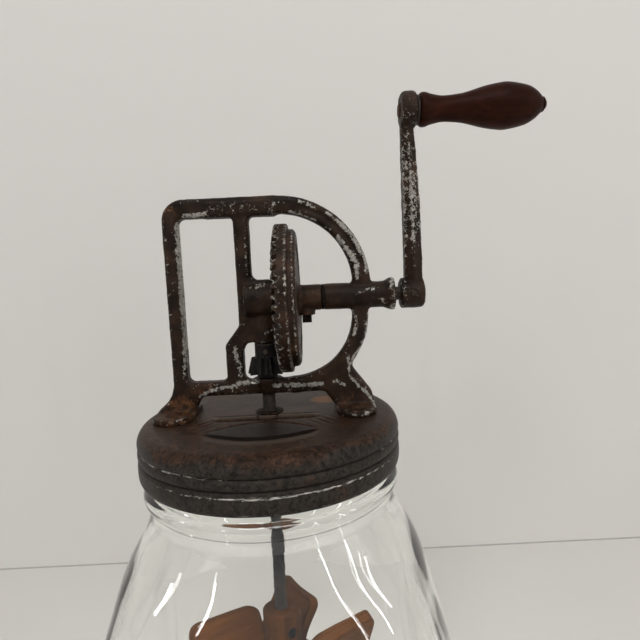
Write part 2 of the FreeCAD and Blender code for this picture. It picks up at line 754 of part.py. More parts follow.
shaft_spot = Vector(0, 0, value(SHAFT_Z))
tooth_ends = [crown_tooth(value(end), 0.6) for end in ("gear_inner", "gear_outer")]
tooth = Part.makeLoft(tooth_ends, True, True)
teeth = []
gear_teeth = int(value("gear_teeth"))
for number in range(gear_teeth):
    copy = tooth.copy()
    copy.rotate(Vector(), Vector(1, 0, 0), 360 * (number + 0.5) / gear_teeth)
    copy.translate(shaft_spot)
    teeth.append(copy)
crown = drawn("CrownTeeth", Part.makeCompound(teeth))
lug = rod("ScrewLug", "screw_lug", "screw_lug_reach", x="screw_position", z=SHAFT_Z, axis="-z")
gear_core = joined("GearCore", [wheel, crown, lug])
gear_bores = [rod("GearBore", "shaft_radius", "60", x="-5", z=SHAFT_Z, axis="x"),
              rod("ScrewHole", "screw_radius", "screw_lug_reach + 4", x="screw_position",
                  z=SHAFT_Z, axis="-z")]
drive_gear = named(bored("Gear", gear_core, gear_bores), "drive_gear")

# Set screw with a square head, which bears on the shaft
screw_shank = rod("ScrewShank", "screw_radius", "screw_lug_reach - shaft_radius + 0.4",
                  x="screw_position", z=f"{SHAFT_Z} - shaft_radius", axis="-z")
screw_head = block("ScrewHead", "screw_head", "screw_head", "screw_head_height",
                   x="screw_position - screw_head / 2", y="-screw_head / 2",
                   z=f"{SHAFT_Z} - screw_lug_reach - 0.3 - screw_head_height")
gear_set_screw = named(joined("SetScrew", [screw_shank, screw_head]), "gear_set_screw")

# Thrust washer between the gear's hub and the outer bearing
washer_disc = rod("WasherDisc", "washer_radius", "washer_thickness",
                  x=f"{GEAR_HUB_END} + hub_gap", z=SHAFT_Z, axis="x")
washer_hole = rod("WasherHole", "shaft_radius", "10", x=f"{GEAR_HUB_END} - 4", z=SHAFT_Z, axis="x")
thrust_washer = named(bored("ThrustWasher", washer_disc, [washer_hole]), "thrust_washer")

# Crank arm: hub, tapered ridged arm and the eye that the grip's rivet is closed in
arm_hub = rod("ArmHubCore", "arm_hub_radius", "arm_hub_length", x="arm_start", z=SHAFT_Z, axis="x")
arm_hub = rounded("ArmHub", arm_hub, 1.2, lambda edge: isinstance(edge.Curve, Part.Circle))
arm_eye = rod("ArmEyeCore", "arm_eye_radius", "arm_eye_length", x=EYE_START, z=GRIP_Z, axis="x")
arm_eye = rounded("ArmEye", arm_eye, 2.2, lambda edge: isinstance(edge.Curve, Part.Circle))


def arm_section(width, depth, level):
    """A six-sided section with a ridge along its front and back."""
    left = value("arm_start + arm_inset")
    corners = [
        (left, -depth * 0.26), (left, depth * 0.26), (left + width * 0.45, depth / 2),
        (left + width, depth * 0.26), (left + width, -depth * 0.26),
        (left + width * 0.45, -depth / 2),
    ]
    points = [Vector(x, y, level) for x, y in corners]
    return Part.makePolygon(points + points[:1])


arm_sections = [
    arm_section(value("arm_base_width"), value("arm_base_depth"), value(SHAFT_Z) + 2),
    arm_section(value("arm_waist_width"), value("arm_base_depth") * 0.95,
                value(f"{SHAFT_Z} + arm_throw * 0.5")),
    arm_section(value("arm_tip_width"), value("arm_tip_depth"),
                value(f"{GRIP_Z} - grip_rivet_head - 0.4")),
]
arm_bar = drawn("ArmBar", Part.makeLoft(arm_sections, True, False))
arm_core = joined("ArmCore", [arm_hub, arm_bar, arm_eye])
arm_bores = [
    rod("ArmShaftBore", "shaft_radius", "40", x="arm_start - 10", z=SHAFT_Z, axis="x"),
    rod("ArmPinBore", "arm_pin_radius", "40", x=arm_pin_x, y="-20", z=SHAFT_Z, axis="y"),
    rod("ArmRivetBore", "grip_rivet_radius", "40", x="arm_start - 10", z=GRIP_Z, axis="x"),
]
crank_arm = named(bored("Arm", arm_core, arm_bores), "crank_arm")
crank_pin = named(rod("ArmPin", "arm_pin_radius", "arm_hub_radius * 2 + 0.6", x=arm_pin_x,
                      y="-arm_hub_radius - 0.3", z=SHAFT_Z, axis="y"), "crank_pin")

# Grip rivet, washer and turned wooden grip
grip_rivet = named(joined("GripRivet", [
    rod("GripShank", "grip_rivet_radius", f"{GRIP_END} - {EYE_START} + 1.4",
        x=f"{EYE_START} - 0.7", z=GRIP_Z, axis="x"),
    cone("GripPeen", "grip_rivet_head * 0.7", "grip_rivet_head", "0.9",
         x=f"{EYE_START} - 0.9", z=GRIP_Z, axis="x"),
    cone("GripHead", "grip_rivet_head * 0.9", "grip_rivet_head * 0.5", "1.2",
         x=f"{GRIP_END} + 0.25", z=GRIP_Z, axis="x"),
]), "grip_rivet")
grip_disc = rod("GripWasherDisc", "grip_washer_radius", "washer_thickness", x=EYE_END, z=GRIP_Z,
                axis="x")
grip_disc_hole = rod("GripWasherHole", "grip_rivet_radius", "10", x=f"{EYE_END} - 4", z=GRIP_Z,
                     axis="x")
grip_washer = named(bored("GripWasher", grip_disc, [grip_disc_hole]), "grip_washer")


def grip_outline():
    """Collar bead, waist, belly and rounded end, as radii along the grip."""
    span = value("grip_length")
    collar = value("grip_collar")
    waist = value("grip_neck")
    belly = value("grip_belly")
    bore_size = value("grip_rivet_radius + grip_fit")
    start = value(GRIP_START)
    shape = [(0.0, collar * 0.9), (0.02, collar * 0.99), (0.05, collar * 0.98),
             (0.1, collar * 0.86), (0.195, waist), (0.325, waist * 1.1), (0.4, waist * 1.25),
             (0.52, belly * 0.87), (0.633, belly * 0.98), (0.715, belly), (0.854, belly * 0.85),
             (0.925, belly * 0.66), (0.965, belly * 0.48), (1.0, belly * 0.28)]
    spots = [Vector(start + part * span, radius, 0) for part, radius in shape]
    curve = Part.BSplineCurve()
    curve.interpolate(spots)
    low_start = Vector(spots[0].x, bore_size, 0)
    low_end = Vector(spots[-1].x, bore_size, 0)
    sides = [curve.toShape(), Part.LineSegment(spots[-1], low_end).toShape(),
             Part.LineSegment(low_end, low_start).toShape(),
             Part.LineSegment(low_start, spots[0]).toShape()]
    face = Part.Face(Part.Wire(sides))
    return face.revolve(Vector(), Vector(1, 0, 0), 360)


wooden_grip = drawn("Grip", grip_outline())
wooden_grip.Placement = Placement(Vector(0, 0, value(GRIP_Z)), Rotation())
named(wooden_grip, "wooden_grip")


# Pinion: ten teeth on the common apex, with a hub above and a collar below
def pinion_section(distance):
    ratio = distance / value(PITCH)
    count = int(value("pinion_teeth"))
    pitch_radius = value(PINION_PITCH)
    tip_radius = (pitch_radius + value("pinion_addendum")) * ratio
    root_radius = (pitch_radius - value("pinion_dedendum")) * ratio
    half_tooth = math.pi * value("gear_module") / 4 - value("tooth_play") / 2
    widths = [(root_radius, half_tooth * 1.42), (pitch_radius * ratio, half_tooth),
              (tip_radius, half_tooth * 0.5)]
    level = value(SHAFT_Z) - distance
    points = []
    for number in range(count):
        middle = 2 * math.pi * number / count
        for radius, half in widths + widths[::-1]:
            side = -1 if len(points) % 6 < 3 else 1
            angle = middle + side * half * ratio / radius
            points.append(Vector(radius * math.cos(angle), radius * math.sin(angle), level))
    return Part.makePolygon(points + points[:1])


pinion_teeth = drawn("PinionTeeth", Part.makeLoft(
    [pinion_section(value("pinion_heel")), pinion_section(value("pinion_toe"))], True, True))
PINION_FOOT = f"({LID_TOP} + sill_bottom + sill_height + 0.8 + hub_gap)"
pinion_core = joined("PinionCore", [
    pinion_teeth,
    rod("PinionHub", "pinion_hub_radius", f"pinion_hub_top - shaft_height + pinion_toe + 1",
        z=f"{SHAFT_Z} - pinion_toe - 1"),
    rod("PinionCollar", "pinion_hub_radius - 0.6", f"{SHAFT_Z} - pinion_heel + 1 - {PINION_FOOT}",
        z=PINION_FOOT)])
PIN_Z = f"({LID_TOP} + (pinion_hub_top + shaft_height - pinion_toe) / 2)"
pinion_bores = [
    rod("PinionBore", "spindle_radius", "60", z=f"{LID_TOP} - 5"),
    rod("PinionPinBore", "pinion_pin_radius", "30", y="-15", z=PIN_Z, axis="y"),
]
pinion = named(bored("Pinion", pinion_core, pinion_bores), "pinion")
pinion_pin = named(rod("PinionPin", "pinion_pin_radius", "pinion_hub_radius * 2 + 0.5",
                       y="-pinion_hub_radius - 0.25", z=PIN_Z, axis="y"), "pinion_pin")
spindle_disc = rod("SpindleWasherDisc", "pinion_hub_radius", "block_bottom - pinion_hub_top - 0.3",
                   z=f"{LID_TOP} + pinion_hub_top")
spindle_disc_hole = rod("SpindleWasherHole", "spindle_radius", "10", z=f"{LID_TOP} + 28")
spindle_washer = named(bored("SpindleWasher", spindle_disc, [spindle_disc_hole]),
                       "spindle_washer")

# Dasher spindle: the long steel rod from the bearing block to the wooden hub
HUB_NAIL_Z = f"({HUB_TOP} - hub_nail_drop)"
spindle_bar = rod("SpindleBar", "spindle_radius", f"{LID_TOP} + spindle_top - {SPINDLE_FOOT}",
                  z=SPINDLE_FOOT)
nail_turn = Rotation(Vector(0, 0, 1), value("hub_nail_turn"))


def hub_nail_shape(name, head):
    """A round nail across the hub, with its head at the front when head is true."""
    reach = value("hub_radius")
    shank = Part.makeCylinder(value("nail_radius"), reach * 1.85, Vector(0, -reach, 0),
                              Vector(0, 1, 0))
    if head:
        cap = Part.makeCylinder(value("nail_head"), 0.9, Vector(0, -reach - 0.5, 0),
                                Vector(0, 1, 0))
        shank = shank.fuse(cap)
    piece = drawn(name, shank)
    piece.Placement = Placement(Vector(0, 0, value(HUB_NAIL_Z)), nail_turn)
    return piece


hub_nail = named(hub_nail_shape("HubNail", True), "hub_nail")
spindle_bores = [rod("SpindlePinBore", "pinion_pin_radius", "30", y="-15", z=PIN_Z, axis="y"),
                 hub_nail_shape("SpindleNailBore", False)]
dasher_spindle = named(bored("Spindle", spindle_bar, spindle_bores), "dasher_spindle")


# Dasher blades: four boards with rounded corners, leaning out of the upright and let
# into slots in the hub's foot
def blade_shape():
    length = value("blade_length")
    depth = value("blade_depth")
    thickness = value("blade_thickness")
    board = Part.makeBox(length, thickness, depth, Vector(0, -thickness / 2, -depth))
    upright = [edge for edge in board.Edges if runs_along(Vector(0, 1, 0))(edge)]
    board = board.makeFillet(value("blade_corner"), upright)
    long_edges = [edge for edge in board.Edges if edge.Length > 12]
    return board.makeChamfer(0.5, long_edges)


yaw = value("blade_yaw")
tilt = value("blade_tilt")
blade_corner = Vector(-value("blade_side"), value("blade_reach"), 0)
blades = []
for number in range(4):
    board = blade_shape()
    board.rotate(Vector(), Vector(1, 0, 0), -tilt)
    board.rotate(Vector(), Vector(0, 0, 1), -90 + yaw)
    board.translate(blade_corner)
    board.rotate(Vector(), Vector(0, 0, 1), 90 * number)
    board.translate(Vector(0, 0, value(BLADE_TOP)))
    blades.append(named(drawn(f"Blade{number + 1}", board), f"dasher_blade_{number + 1}"))

# Dasher hub: a turned stem on a thicker foot, slotted for the blades
stem = turned("HubStem", [
    ("0", HUB_FOOT),
    ("hub_foot_radius - 1.5", HUB_FOOT),
    ("hub_foot_radius", f"{HUB_FOOT} + 1.5"),
    ("hub_foot_radius", f"{HUB_FOOT} + hub_foot_height - 3"),
    ("hub_foot_radius - 3", f"{HUB_FOOT} + hub_foot_height"),
    ("hub_radius + 2", f"{HUB_FOOT} + hub_foot_height"),
    ("hub_radius", f"{HUB_FOOT} + hub_foot_height + 2.5"),
    ("hub_radius", f"{HUB_TOP} - hub_round", "hub_round", 1),
    ("hub_radius - hub_round", HUB_TOP),
    ("0", HUB_TOP),
])
nail_spots = []
blade_nails = []
for number in range(4):
    turn = Rotation(Vector(0, 0, 1), 90 * number)
    along = Vector(-math.cos(math.radians(yaw)), -math.sin(math.radians(yaw)), 0)
    bearing = math.radians(value("nail_bearing"))
    entry = Vector(math.cos(bearing), math.sin(bearing), 0) * value("hub_foot_radius") * 1.007
    entry.z = value(f"{HUB_FOOT} + hub_foot_height * 0.42")
    shank = Part.makeCylinder(value("nail_radius"), value("nail_length"), entry, along)
    cap = Part.makeCylinder(value("nail_head"), 0.9, entry - along * 0.6, along)
    spot = Placement(Vector(), turn)
    for shape, store in ((shank, nail_spots), (shank.fuse(cap), blade_nails)):
        turned_nail = shape.copy()
        turned_nail.Placement = spot.multiply(turned_nail.Placement)
        store.append(turned_nail)
hub_bores = [rod("HubSocket", "spindle_radius", f"{HUB_TOP} + 5 - {SPINDLE_FOOT}",
                 z=SPINDLE_FOOT), hub_nail_shape("HubNailBore", True),
             drawn("BladeNailBores", Part.makeCompound(blade_nails))]
dasher_hub = named(bored("Hub", stem, hub_bores + blades), "dasher_hub")
nail_group = drawn("BladeNails", Part.makeCompound(blade_nails))
named(nail_group, "blade_nails")

doc.recompute()

# The nails' shanks pass into the blades, so each blade is bored for its own nail
for number, blade in enumerate(blades):
    blade.Shape = blade.Shape.cut(nail_spots[number])
doc.recompute()

for item in doc.Objects:
    if "Invalid" in item.State or "Error" in item.State:
        raise RuntimeError(f"{item.Name} is in state {item.State}")
for node in nodes:
    if node.Shape.isNull() or not node.Shape.isValid():
        raise RuntimeError(f"{node.Label} has no valid shape")

os.makedirs("parts", exist_ok=True)
for node in nodes:
    node.Shape.exportStep(f"parts/{node.Label}.step")
    print(node.Label, len(node.Shape.Solids), round(node.Shape.Volume, 1))
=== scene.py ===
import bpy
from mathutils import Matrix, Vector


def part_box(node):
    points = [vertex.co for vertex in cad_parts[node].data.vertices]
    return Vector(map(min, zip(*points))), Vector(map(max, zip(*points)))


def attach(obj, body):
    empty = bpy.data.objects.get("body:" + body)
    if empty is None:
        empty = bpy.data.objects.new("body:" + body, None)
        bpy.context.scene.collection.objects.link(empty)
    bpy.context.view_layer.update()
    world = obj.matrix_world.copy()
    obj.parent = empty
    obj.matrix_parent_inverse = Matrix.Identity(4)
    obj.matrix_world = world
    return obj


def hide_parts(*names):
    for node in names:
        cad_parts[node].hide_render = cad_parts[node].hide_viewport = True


bl_info = {
    "name": "Glass butter churn",
    "version": (1, 0, 0),
    "blender": (4, 5, 0),
    "location": "View3D > Sidebar > Churn",
    "description": "Dresses a glass jar churn: glass, worn castings, tin lid and wood",
    "category": "Object",
}

import math

import bmesh
import bpy
import numpy as np
from mathutils import Matrix, Vector, noise

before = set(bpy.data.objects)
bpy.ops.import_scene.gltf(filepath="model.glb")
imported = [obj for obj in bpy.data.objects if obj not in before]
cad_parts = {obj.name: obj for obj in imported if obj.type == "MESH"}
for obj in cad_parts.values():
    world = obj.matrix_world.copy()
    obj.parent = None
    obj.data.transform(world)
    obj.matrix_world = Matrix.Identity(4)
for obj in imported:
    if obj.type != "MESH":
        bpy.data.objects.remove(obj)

MM = 0.001
JAR_NODES = ["glass_jar", "jar_shoulder", "jar_neck"]
JAR_LOW, JAR_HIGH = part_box("glass_jar")
JAR_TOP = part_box(JAR_NODES[-1])[1].z
LID_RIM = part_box("screw_lid")[0].z
SHAFT_LOW, SHAFT_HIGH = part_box("crank_shaft")
GRIP_LOW, GRIP_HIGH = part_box("wooden_grip")
ROD_LOW, ROD_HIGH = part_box("dasher_spindle")
WASHER_LOW, WASHER_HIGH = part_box("thrust_washer")
FERRULE_RISE = 0.9 * MM
LID_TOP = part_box("spindle_ferrule")[1].z - FERRULE_RISE


def tone(red, green, blue):
    """A colour given as it looks on a screen, 0 to 255, as the shader wants it."""
    def channel(share):
        share /= 255
        return share / 12.92 if share <= 0.04045 else ((share + 0.055) / 1.055) ** 2.4
    return channel(red), channel(green), channel(blue)


# Sizes and colours that a user would change


def length(name, description, default):
    return bpy.props.FloatProperty(name=name, description=description, default=default,
                                   min=0.0, unit="LENGTH", precision=5)


def colour(name, description, default):
    return bpy.props.FloatVectorProperty(name=name, description=description, default=default,
                                         size=3, min=0.0, max=1.0, subtype="COLOR")


class ChurnSizes(bpy.types.PropertyGroup):
    cast_grain: length("Casting grain", "Size of the cells of the castings' skin", 0.5 * MM)
    glass_wave: length("Glass wave", "How far the glass wanders from true", 0.10 * MM)
    lid_dent: length("Lid dents", "Depth of the dents in the tin lid", 0.16 * MM)
    vent_lift: length("Vent lift", "Height of the vent's front edge", 0.9 * MM)
    rod_pit: length("Rod pits", "Depth of the pits in the dasher's rod", 1.1 * MM)
    camera_back: length("Camera distance", "From the spindle to the camera", 229.5 * MM)
    camera_side: length("Camera side", "Camera's place along the crankshaft", 25.3 * MM)
    camera_rise: length("Camera rise", "Camera's height above the lid's rim", 87.7 * MM)


class ChurnColours(bpy.types.PropertyGroup):
    iron: colour("Iron", "Brown-black baked finish", tone(38, 26, 18))
    # also the silver of painted highlights on the castings
    bare_iron_and_sheen: colour("Bare iron", "Iron where the finish is worn off", tone(170, 165, 156))
    rust: colour("Rust", "Orange-brown rust", tone(100, 66, 40))
    tin: colour("Tin", "Tarnished tinplate", tone(50, 45, 40))
    lid_rust: colour("Lid rust", "Dark rust on the lid's top", tone(56, 39, 28))
    grip_wood: colour("Grip wood", "Dark polished wood", tone(48, 21, 11))
    board_wood: colour("Board wood", "Bare wood of the dasher", tone(98, 58, 20))
    glass: colour("Glass", "Tint of thick glass", tone(184, 214, 176))
    wall: colour("Wall", "Wall behind the churn", tone(218, 214, 209))


GLASS_DENSITY = 9.0
WALL_GLOW = 0.14  # the wall's own light, which only glass and metal see


# Shader nodes


class Nodes:
    """A node tree while it is put together."""

    def __init__(self, tree):
        self.tree = tree

    def add(self, kind, inputs=None, **settings):
        node = self.tree.nodes.new(kind)
        for name, setting in settings.items():
            setattr(node, name, setting)
        for key, given in (inputs or {}).items():
            self.put(node.inputs[key], given)
        return node

    def put(self, socket, given):
        if isinstance(given, bpy.types.NodeSocket):
            self.tree.links.new(given, socket)
        elif socket.type == "RGBA":
            socket.default_value = (*given[:3], 1.0)
        else:
            socket.default_value = given

    def sums(self, way, *terms, clamp=False):
        return self.add("ShaderNodeMath", dict(enumerate(terms)), operation=way,
                        use_clamp=clamp).outputs[0]

    def plus(self, first, second, clamp=False):
        return self.sums("ADD", first, second, clamp=clamp)

    def times(self, first, second, clamp=False):
        return self.sums("MULTIPLY", first, second, clamp=clamp)


class Finish(Nodes):
    """A material while it is put together, with its main shader and its output."""

    def __init__(self, name):
        self.material = bpy.data.materials.new(name)
        self.material.use_nodes = True
        super().__init__(self.material.node_tree)
        self.shader = self.tree.nodes["Principled BSDF"]
        self.output = self.tree.nodes["Material Output"]

    def set(self, **sockets):
        for name, given in sockets.items():
            self.put(self.shader.inputs[name.replace("_", " ")], given)

    def place(self):
        """Object coordinates."""
        return self.add("ShaderNodeTexCoord").outputs["Object"]

    def stretched(self, spot, *scale):
        return self.add("ShaderNodeMapping", {"Vector": spot, "Scale": scale}).outputs["Vector"]

    def layer(self, name, output="Fac"):
        """A value that the mesh holds for each of its vertices."""
        return self.add("ShaderNodeAttribute", attribute_name=name).outputs[output]

    def speckle(self, spot, size, detail=4.0, rough=0.6, warp=0.0):
        """Noise whose blots are about a size in millimetres."""
        return self.add("ShaderNodeTexNoise", {
            "Vector": spot, "Scale": 1000.0 / size, "Detail": detail, "Roughness": rough,
            "Distortion": warp}).outputs["Fac"]

    def swing(self, noise_value, reach):
        """Noise turned into a value on both sides of 0."""
        return self.times(self.sums("SUBTRACT", noise_value, 0.5), reach)

    def step(self, amount, low, high):
        """0 below low, 1 above high and a soft edge between."""
        return self.add("ShaderNodeMapRange", {
            "Value": amount, "From Min": low, "From Max": high},
            interpolation_type="SMOOTHSTEP").outputs["Result"]

    def ramp(self, amount, stops):
        node = self.add("ShaderNodeValToRGB", {"Fac": amount})
        band = node.color_ramp.elements
        while len(band) < len(stops):
            band.new(0.5)
        for element, (position, colour_there) in zip(band, stops):
            element.position = position
            element.color = (*colour_there, 1.0)
        return node.outputs["Color"]

    def tones(self, amount, base, stops):
        """A ramp of lighter and darker tones of one colour."""
        return self.ramp(amount, [(position, shade(base, factor)) for position, factor in stops])

    def blend(self, amount, first, second):
        node = self.add("ShaderNodeMix", data_type="RGBA")
        for socket, given in zip((0, 6, 7), (amount, first, second)):
            self.put(node.inputs[socket], given)
        return node.outputs[2]

    def cover(self, skin, colour_over, amount, low, high, strength):
        """The skin with a colour over it where an amount is past a soft step."""
        return self.blend(self.times(self.step(amount, low, high), strength), skin, colour_over)

    def bump(self, height, strength, depth, below=None):
        inputs = {"Height": height, "Strength": strength, "Distance": depth * MM}
        if below is not None:
            inputs["Normal"] = below
        normal = self.add("ShaderNodeBump", inputs).outputs["Normal"]
        self.set(Normal=normal)
        return normal


def shade(base, factor):
    """A lighter or darker tone of a colour."""
    return tuple(min(1.0, channel * factor) for channel in base)


def finish_iron(name, base, wear_bias, gloss=0.40):
    """Baked finish over cast iron: mottled, rusty in places, silver where worn and where a
    highlight is painted on.
    """
    colours = bpy.context.scene.churn_colours
    made = Finish(name)
    spot = made.place()
    cloud = made.speckle(spot, 11.0, 3.0)
    blot = made.speckle(spot, 2.6, 8.0, 0.68, 0.4)
    grain = made.speckle(spot, 0.7, 5.0, 0.7)
    ragged = made.speckle(spot, 1.5, 8.0, 0.75, 0.8)
    skin = made.tones(cloud, base, [(0.32, 0.42), (0.50, 1.0), (0.68, 2.1)])
    skin = made.cover(skin, shade(base, 0.28), grain, 0.5, 0.8, 0.45)
    rusty = made.step(made.plus(made.layer("rust"), made.swing(blot, 1.5)), 0.35, 0.75)
    skin = made.blend(rusty, skin, made.tones(grain, colours.rust, [(0.34, 0.45), (0.62, 1.0)]))
    edge = made.plus(made.layer("wear"), made.swing(ragged, 3.0))
    edge = made.plus(made.plus(edge, made.swing(blot, 1.6)), wear_bias)
    worn = made.step(edge, 0.50, 0.66)
    metal = made.tones(ragged, colours.bare_iron_and_sheen, [(0.36, 0.30), (0.50, 0.75), (0.62, 1.15)])
    rough = made.plus(made.times(cloud, 0.25), gloss - 0.05)
    made.set(Base_Color=made.blend(worn, skin, metal), Specular_IOR_Level=0.13,
             Metallic=made.times(worn, 0.35),
             Roughness=made.plus(rough, made.times(rusty, 0.25), True))
    lower = made.bump(made.times(worn, -1.0), 0.5, 0.18)
    made.bump(made.plus(grain, blot), 0.45, 0.32, lower)
    return made.material


def finish_tin():
    """Tarnished tinplate: dark rust on top, greyer below, painted shade and painted highlights
    from a layer, and near-white painted highlights along the rolled bands, broken up like
    scratches.
    """
    colours = bpy.context.scene.churn_colours
    made = Finish("rusted_tinplate")
    spot = made.place()
    cloud = made.speckle(spot, 22.0, 4.0, 0.6, 0.5)
    blot = made.speckle(spot, 2.8, 8.0, 0.74, 0.6)
    grain = made.speckle(spot, 1.5, 6.0, 0.75)
    grey = made.tones(blot, colours.tin, [(0.38, 0.5), (0.50, 1.0), (0.62, 1.4)])
    brown = made.tones(blot, colours.lid_rust, [(0.40, 0.35), (0.50, 1.0), (0.60, 1.75)])
    rusty = made.plus(made.layer("rust"), made.swing(cloud, 1.8))
    rusty = made.plus(rusty, made.swing(blot, 1.0))
    skin = made.blend(made.step(rusty, 0.25, 0.75), grey, brown)
    red = made.sums("SUBTRACT", cloud, made.times(grain, 0.2))
    skin = made.cover(skin, tone(80, 50, 32), red, 0.46, 0.58, 0.28)
    skin = made.cover(skin, tone(18, 12, 9), grain, 0.50, 0.60, 0.7)
    tarnish = made.layer("tarnish")
    # painted shade: a dark tone where the layer is above 0; painted highlight: a light grey where
    # it is below 0
    skin = made.blend(made.times(tarnish, 0.8, True), skin, tone(20, 13, 9))
    skin = made.blend(made.times(tarnish, -0.7, True), skin, tone(82, 74, 64))
    stain = made.step(made.plus(made.layer("stain"), made.swing(blot, 1.2)), 0.35, 0.75)
    skin = made.blend(stain, skin, tone(118, 76, 30))
    streak = made.speckle(made.stretched(spot, 1.0, 1.0, 7.0), 3.0, 8.0, 0.78)
    # painted highlight: near-white lines along the rolled bands and the bottom edge, broken up by
    # streaks like scratches
    glint_mask = made.step(made.plus(made.layer("wear"), made.swing(streak, 3.4)), 0.60, 0.80)
    made.set(Base_Color=made.blend(glint_mask, skin, tone(205, 200, 192)),
             Metallic=made.plus(made.times(glint_mask, 0.4), 0.12),
             Roughness=made.plus(made.times(blot, 0.35), 0.30, True), Specular_IOR_Level=0.12)
    made.bump(made.plus(grain, blot), 0.6, 0.35)
    return made.material


def finish_grip():
    """Dark hardwood, polished by hands, with its grain along the grip."""
    base = bpy.context.scene.churn_colours.grip_wood
    made = Finish("polished_wood")
    spot = made.place()
    along = made.stretched(spot, 0.10, 1.0, 1.0)
    streak = made.speckle(along, 2.2, 6.0, 0.6, 0.5)
    pores = made.speckle(along, 0.35, 3.0, 0.6)
    cloud = made.speckle(spot, 16.0, 3.0)
    skin = made.tones(streak, base, [(0.28, 0.40), (0.50, 0.85), (0.74, 1.45)])
    skin = made.cover(skin, shade(base, 0.45), cloud, 0.45, 0.7, 0.55)
    skin = made.cover(skin, shade(base, 0.22), pores, 0.58, 0.72, 0.5)
    made.set(Base_Color=skin, Specular_IOR_Level=0.06,
             Roughness=made.plus(made.times(cloud, 0.25), 0.34))
    made.bump(made.plus(pores, streak), 0.15, 0.15)
    return made.material


def finish_board(name, base):
    """Bare sawn wood whose grain follows the board's own directions."""
    made = Finish(name)
    own = made.layer("board", "Vector")
    along = made.stretched(own, 0.07, 1.0, 1.0)
    rings = made.speckle(along, 3.4, 5.0, 0.6, 1.2)
    fibre = made.speckle(along, 0.55, 4.0, 0.65)
    cloud = made.speckle(own, 13.0, 3.0)
    skin = made.tones(rings, base, [(0.28, 0.48), (0.50, 0.95), (0.72, 1.22)])
    skin = made.cover(skin, shade(base, 0.5), fibre, 0.5, 0.75, 0.4)
    skin = made.cover(skin, shade(base, 0.6), cloud, 0.4, 0.75, 0.5)
    skin = made.cover(skin, shade(base, 0.38), made.layer("wear"), 0.35, 0.9, 0.6)
    made.set(Base_Color=skin, Roughness=0.7, Specular_IOR_Level=0.06)
    made.bump(made.plus(fibre, rings), 0.35, 0.30)
    return made.material


def finish_steel(name, base, rust=0.25, gloss=0.38):
    """Bare steel: grey, pitted, freckled with rust and dark where it is crusted."""
    made = Finish(name)
    spot = made.place()
    blot = made.speckle(spot, 2.4, 7.0, 0.7)
    pits = made.speckle(spot, 0.8, 4.0, 0.7)
    skin = made.tones(blot, base, [(0.30, 0.45), (0.60, 1.0), (0.78, 1.5)])
    skin = made.cover(skin, tone(88, 54, 32), blot, 0.50, 0.64, rust)
    crust = made.times(made.layer("crust"), made.step(pits, 0.36, 0.54))
    skin = made.blend(crust, skin, tone(17, 15, 14))
    made.set(Base_Color=skin, Metallic=0.4, Specular_IOR_Level=0.15,
             Roughness=made.plus(made.times(pits, 0.3), gloss))
    made.bump(pits, 0.5, 0.30)
    return made.material


def finish_glass():
    """Clear glass, faintly green where it is thick."""
    made = Finish("clear_glass")
    made.set(Base_Color=(0.992, 0.992, 0.986), Roughness=0.0, IOR=1.5, Transmission_Weight=1.0)
    tint = made.add("ShaderNodeVolumeAbsorption", {
        "Color": bpy.context.scene.churn_colours.glass, "Density": GLASS_DENSITY})
    made.put(made.output.inputs["Volume"], tint.outputs[0])
    return made.material


def finish_rubber():
    """Dark aged rubber."""
    made = Finish("seal_rubber")
    blot = made.speckle(made.place(), 4.0, 5.0)
    made.set(Base_Color=made.ramp(blot, [(0.3, tone(28, 25, 22)), (0.7, tone(48, 42, 36))]),
             Roughness=0.7)
    made.bump(blot, 0.2, 0.2)
    return made.material


def finish_wall():
    """Wall paint with its own light in glass and metal, and clear when seen from behind."""
    colours = bpy.context.scene.churn_colours
    made = Finish("wall_paint")
    rays = made.add("ShaderNodeLightPath").outputs
    seen = made.sums("MAXIMUM", rays["Is Transmission Ray"], rays["Is Glossy Ray"])
    made.set(Base_Color=colours.wall, Roughness=0.9, Emission_Color=colours.wall,
             Emission_Strength=made.times(seen, WALL_GLOW))
    one_sided = made.add("ShaderNodeMixShader", {
        0: made.add("ShaderNodeNewGeometry").outputs["Backfacing"], 1: made.shader.outputs[0],
        2: made.add("ShaderNodeBsdfTransparent").outputs[0]})
    made.put(made.output.inputs["Surface"], one_sided.outputs[0])
    return made.material


# Making pieces


def linked(name, data):
    """A new object in the scene."""
    holder = bpy.data.objects.new(name, data)
    bpy.context.scene.collection.objects.link(holder)
    return holder


def store(mesh, body, slot, material, *nodes):
    """Puts a finished mesh in the scene instead of some nodes, as a piece that rides on a body."""
    piece = linked(nodes[0] + "_skin", mesh)
    mesh.materials.clear()
    mesh.materials.append(material)
    mesh.polygons.foreach_set("use_smooth", [True] * len(mesh.polygons))
    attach(piece, body)
    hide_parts(*nodes)
    return piece


def as_mesh(name, shape):
    mesh = bpy.data.meshes.new(name)
    shape.to_mesh(mesh)
    shape.free()
    return mesh


def outward(name, shape):
    """A bmesh as a mesh whose faces all point outwards."""
    bmesh.ops.recalc_face_normals(shape, faces=shape.faces)
    return as_mesh(name, shape)


def reshaped(mesh, *changes):
    """The mesh after a row of modifiers, each given as its kind and its settings."""
    holder = linked("holder", mesh)
    for kind, settings in changes:
        change = holder.modifiers.new(kind, kind)
        for name, setting in settings.items():
            setattr(change, name, setting)
    graph = bpy.context.evaluated_depsgraph_get()
    made = bpy.data.meshes.new_from_object(holder.evaluated_get(graph))
    bpy.data.objects.remove(holder)
    return made


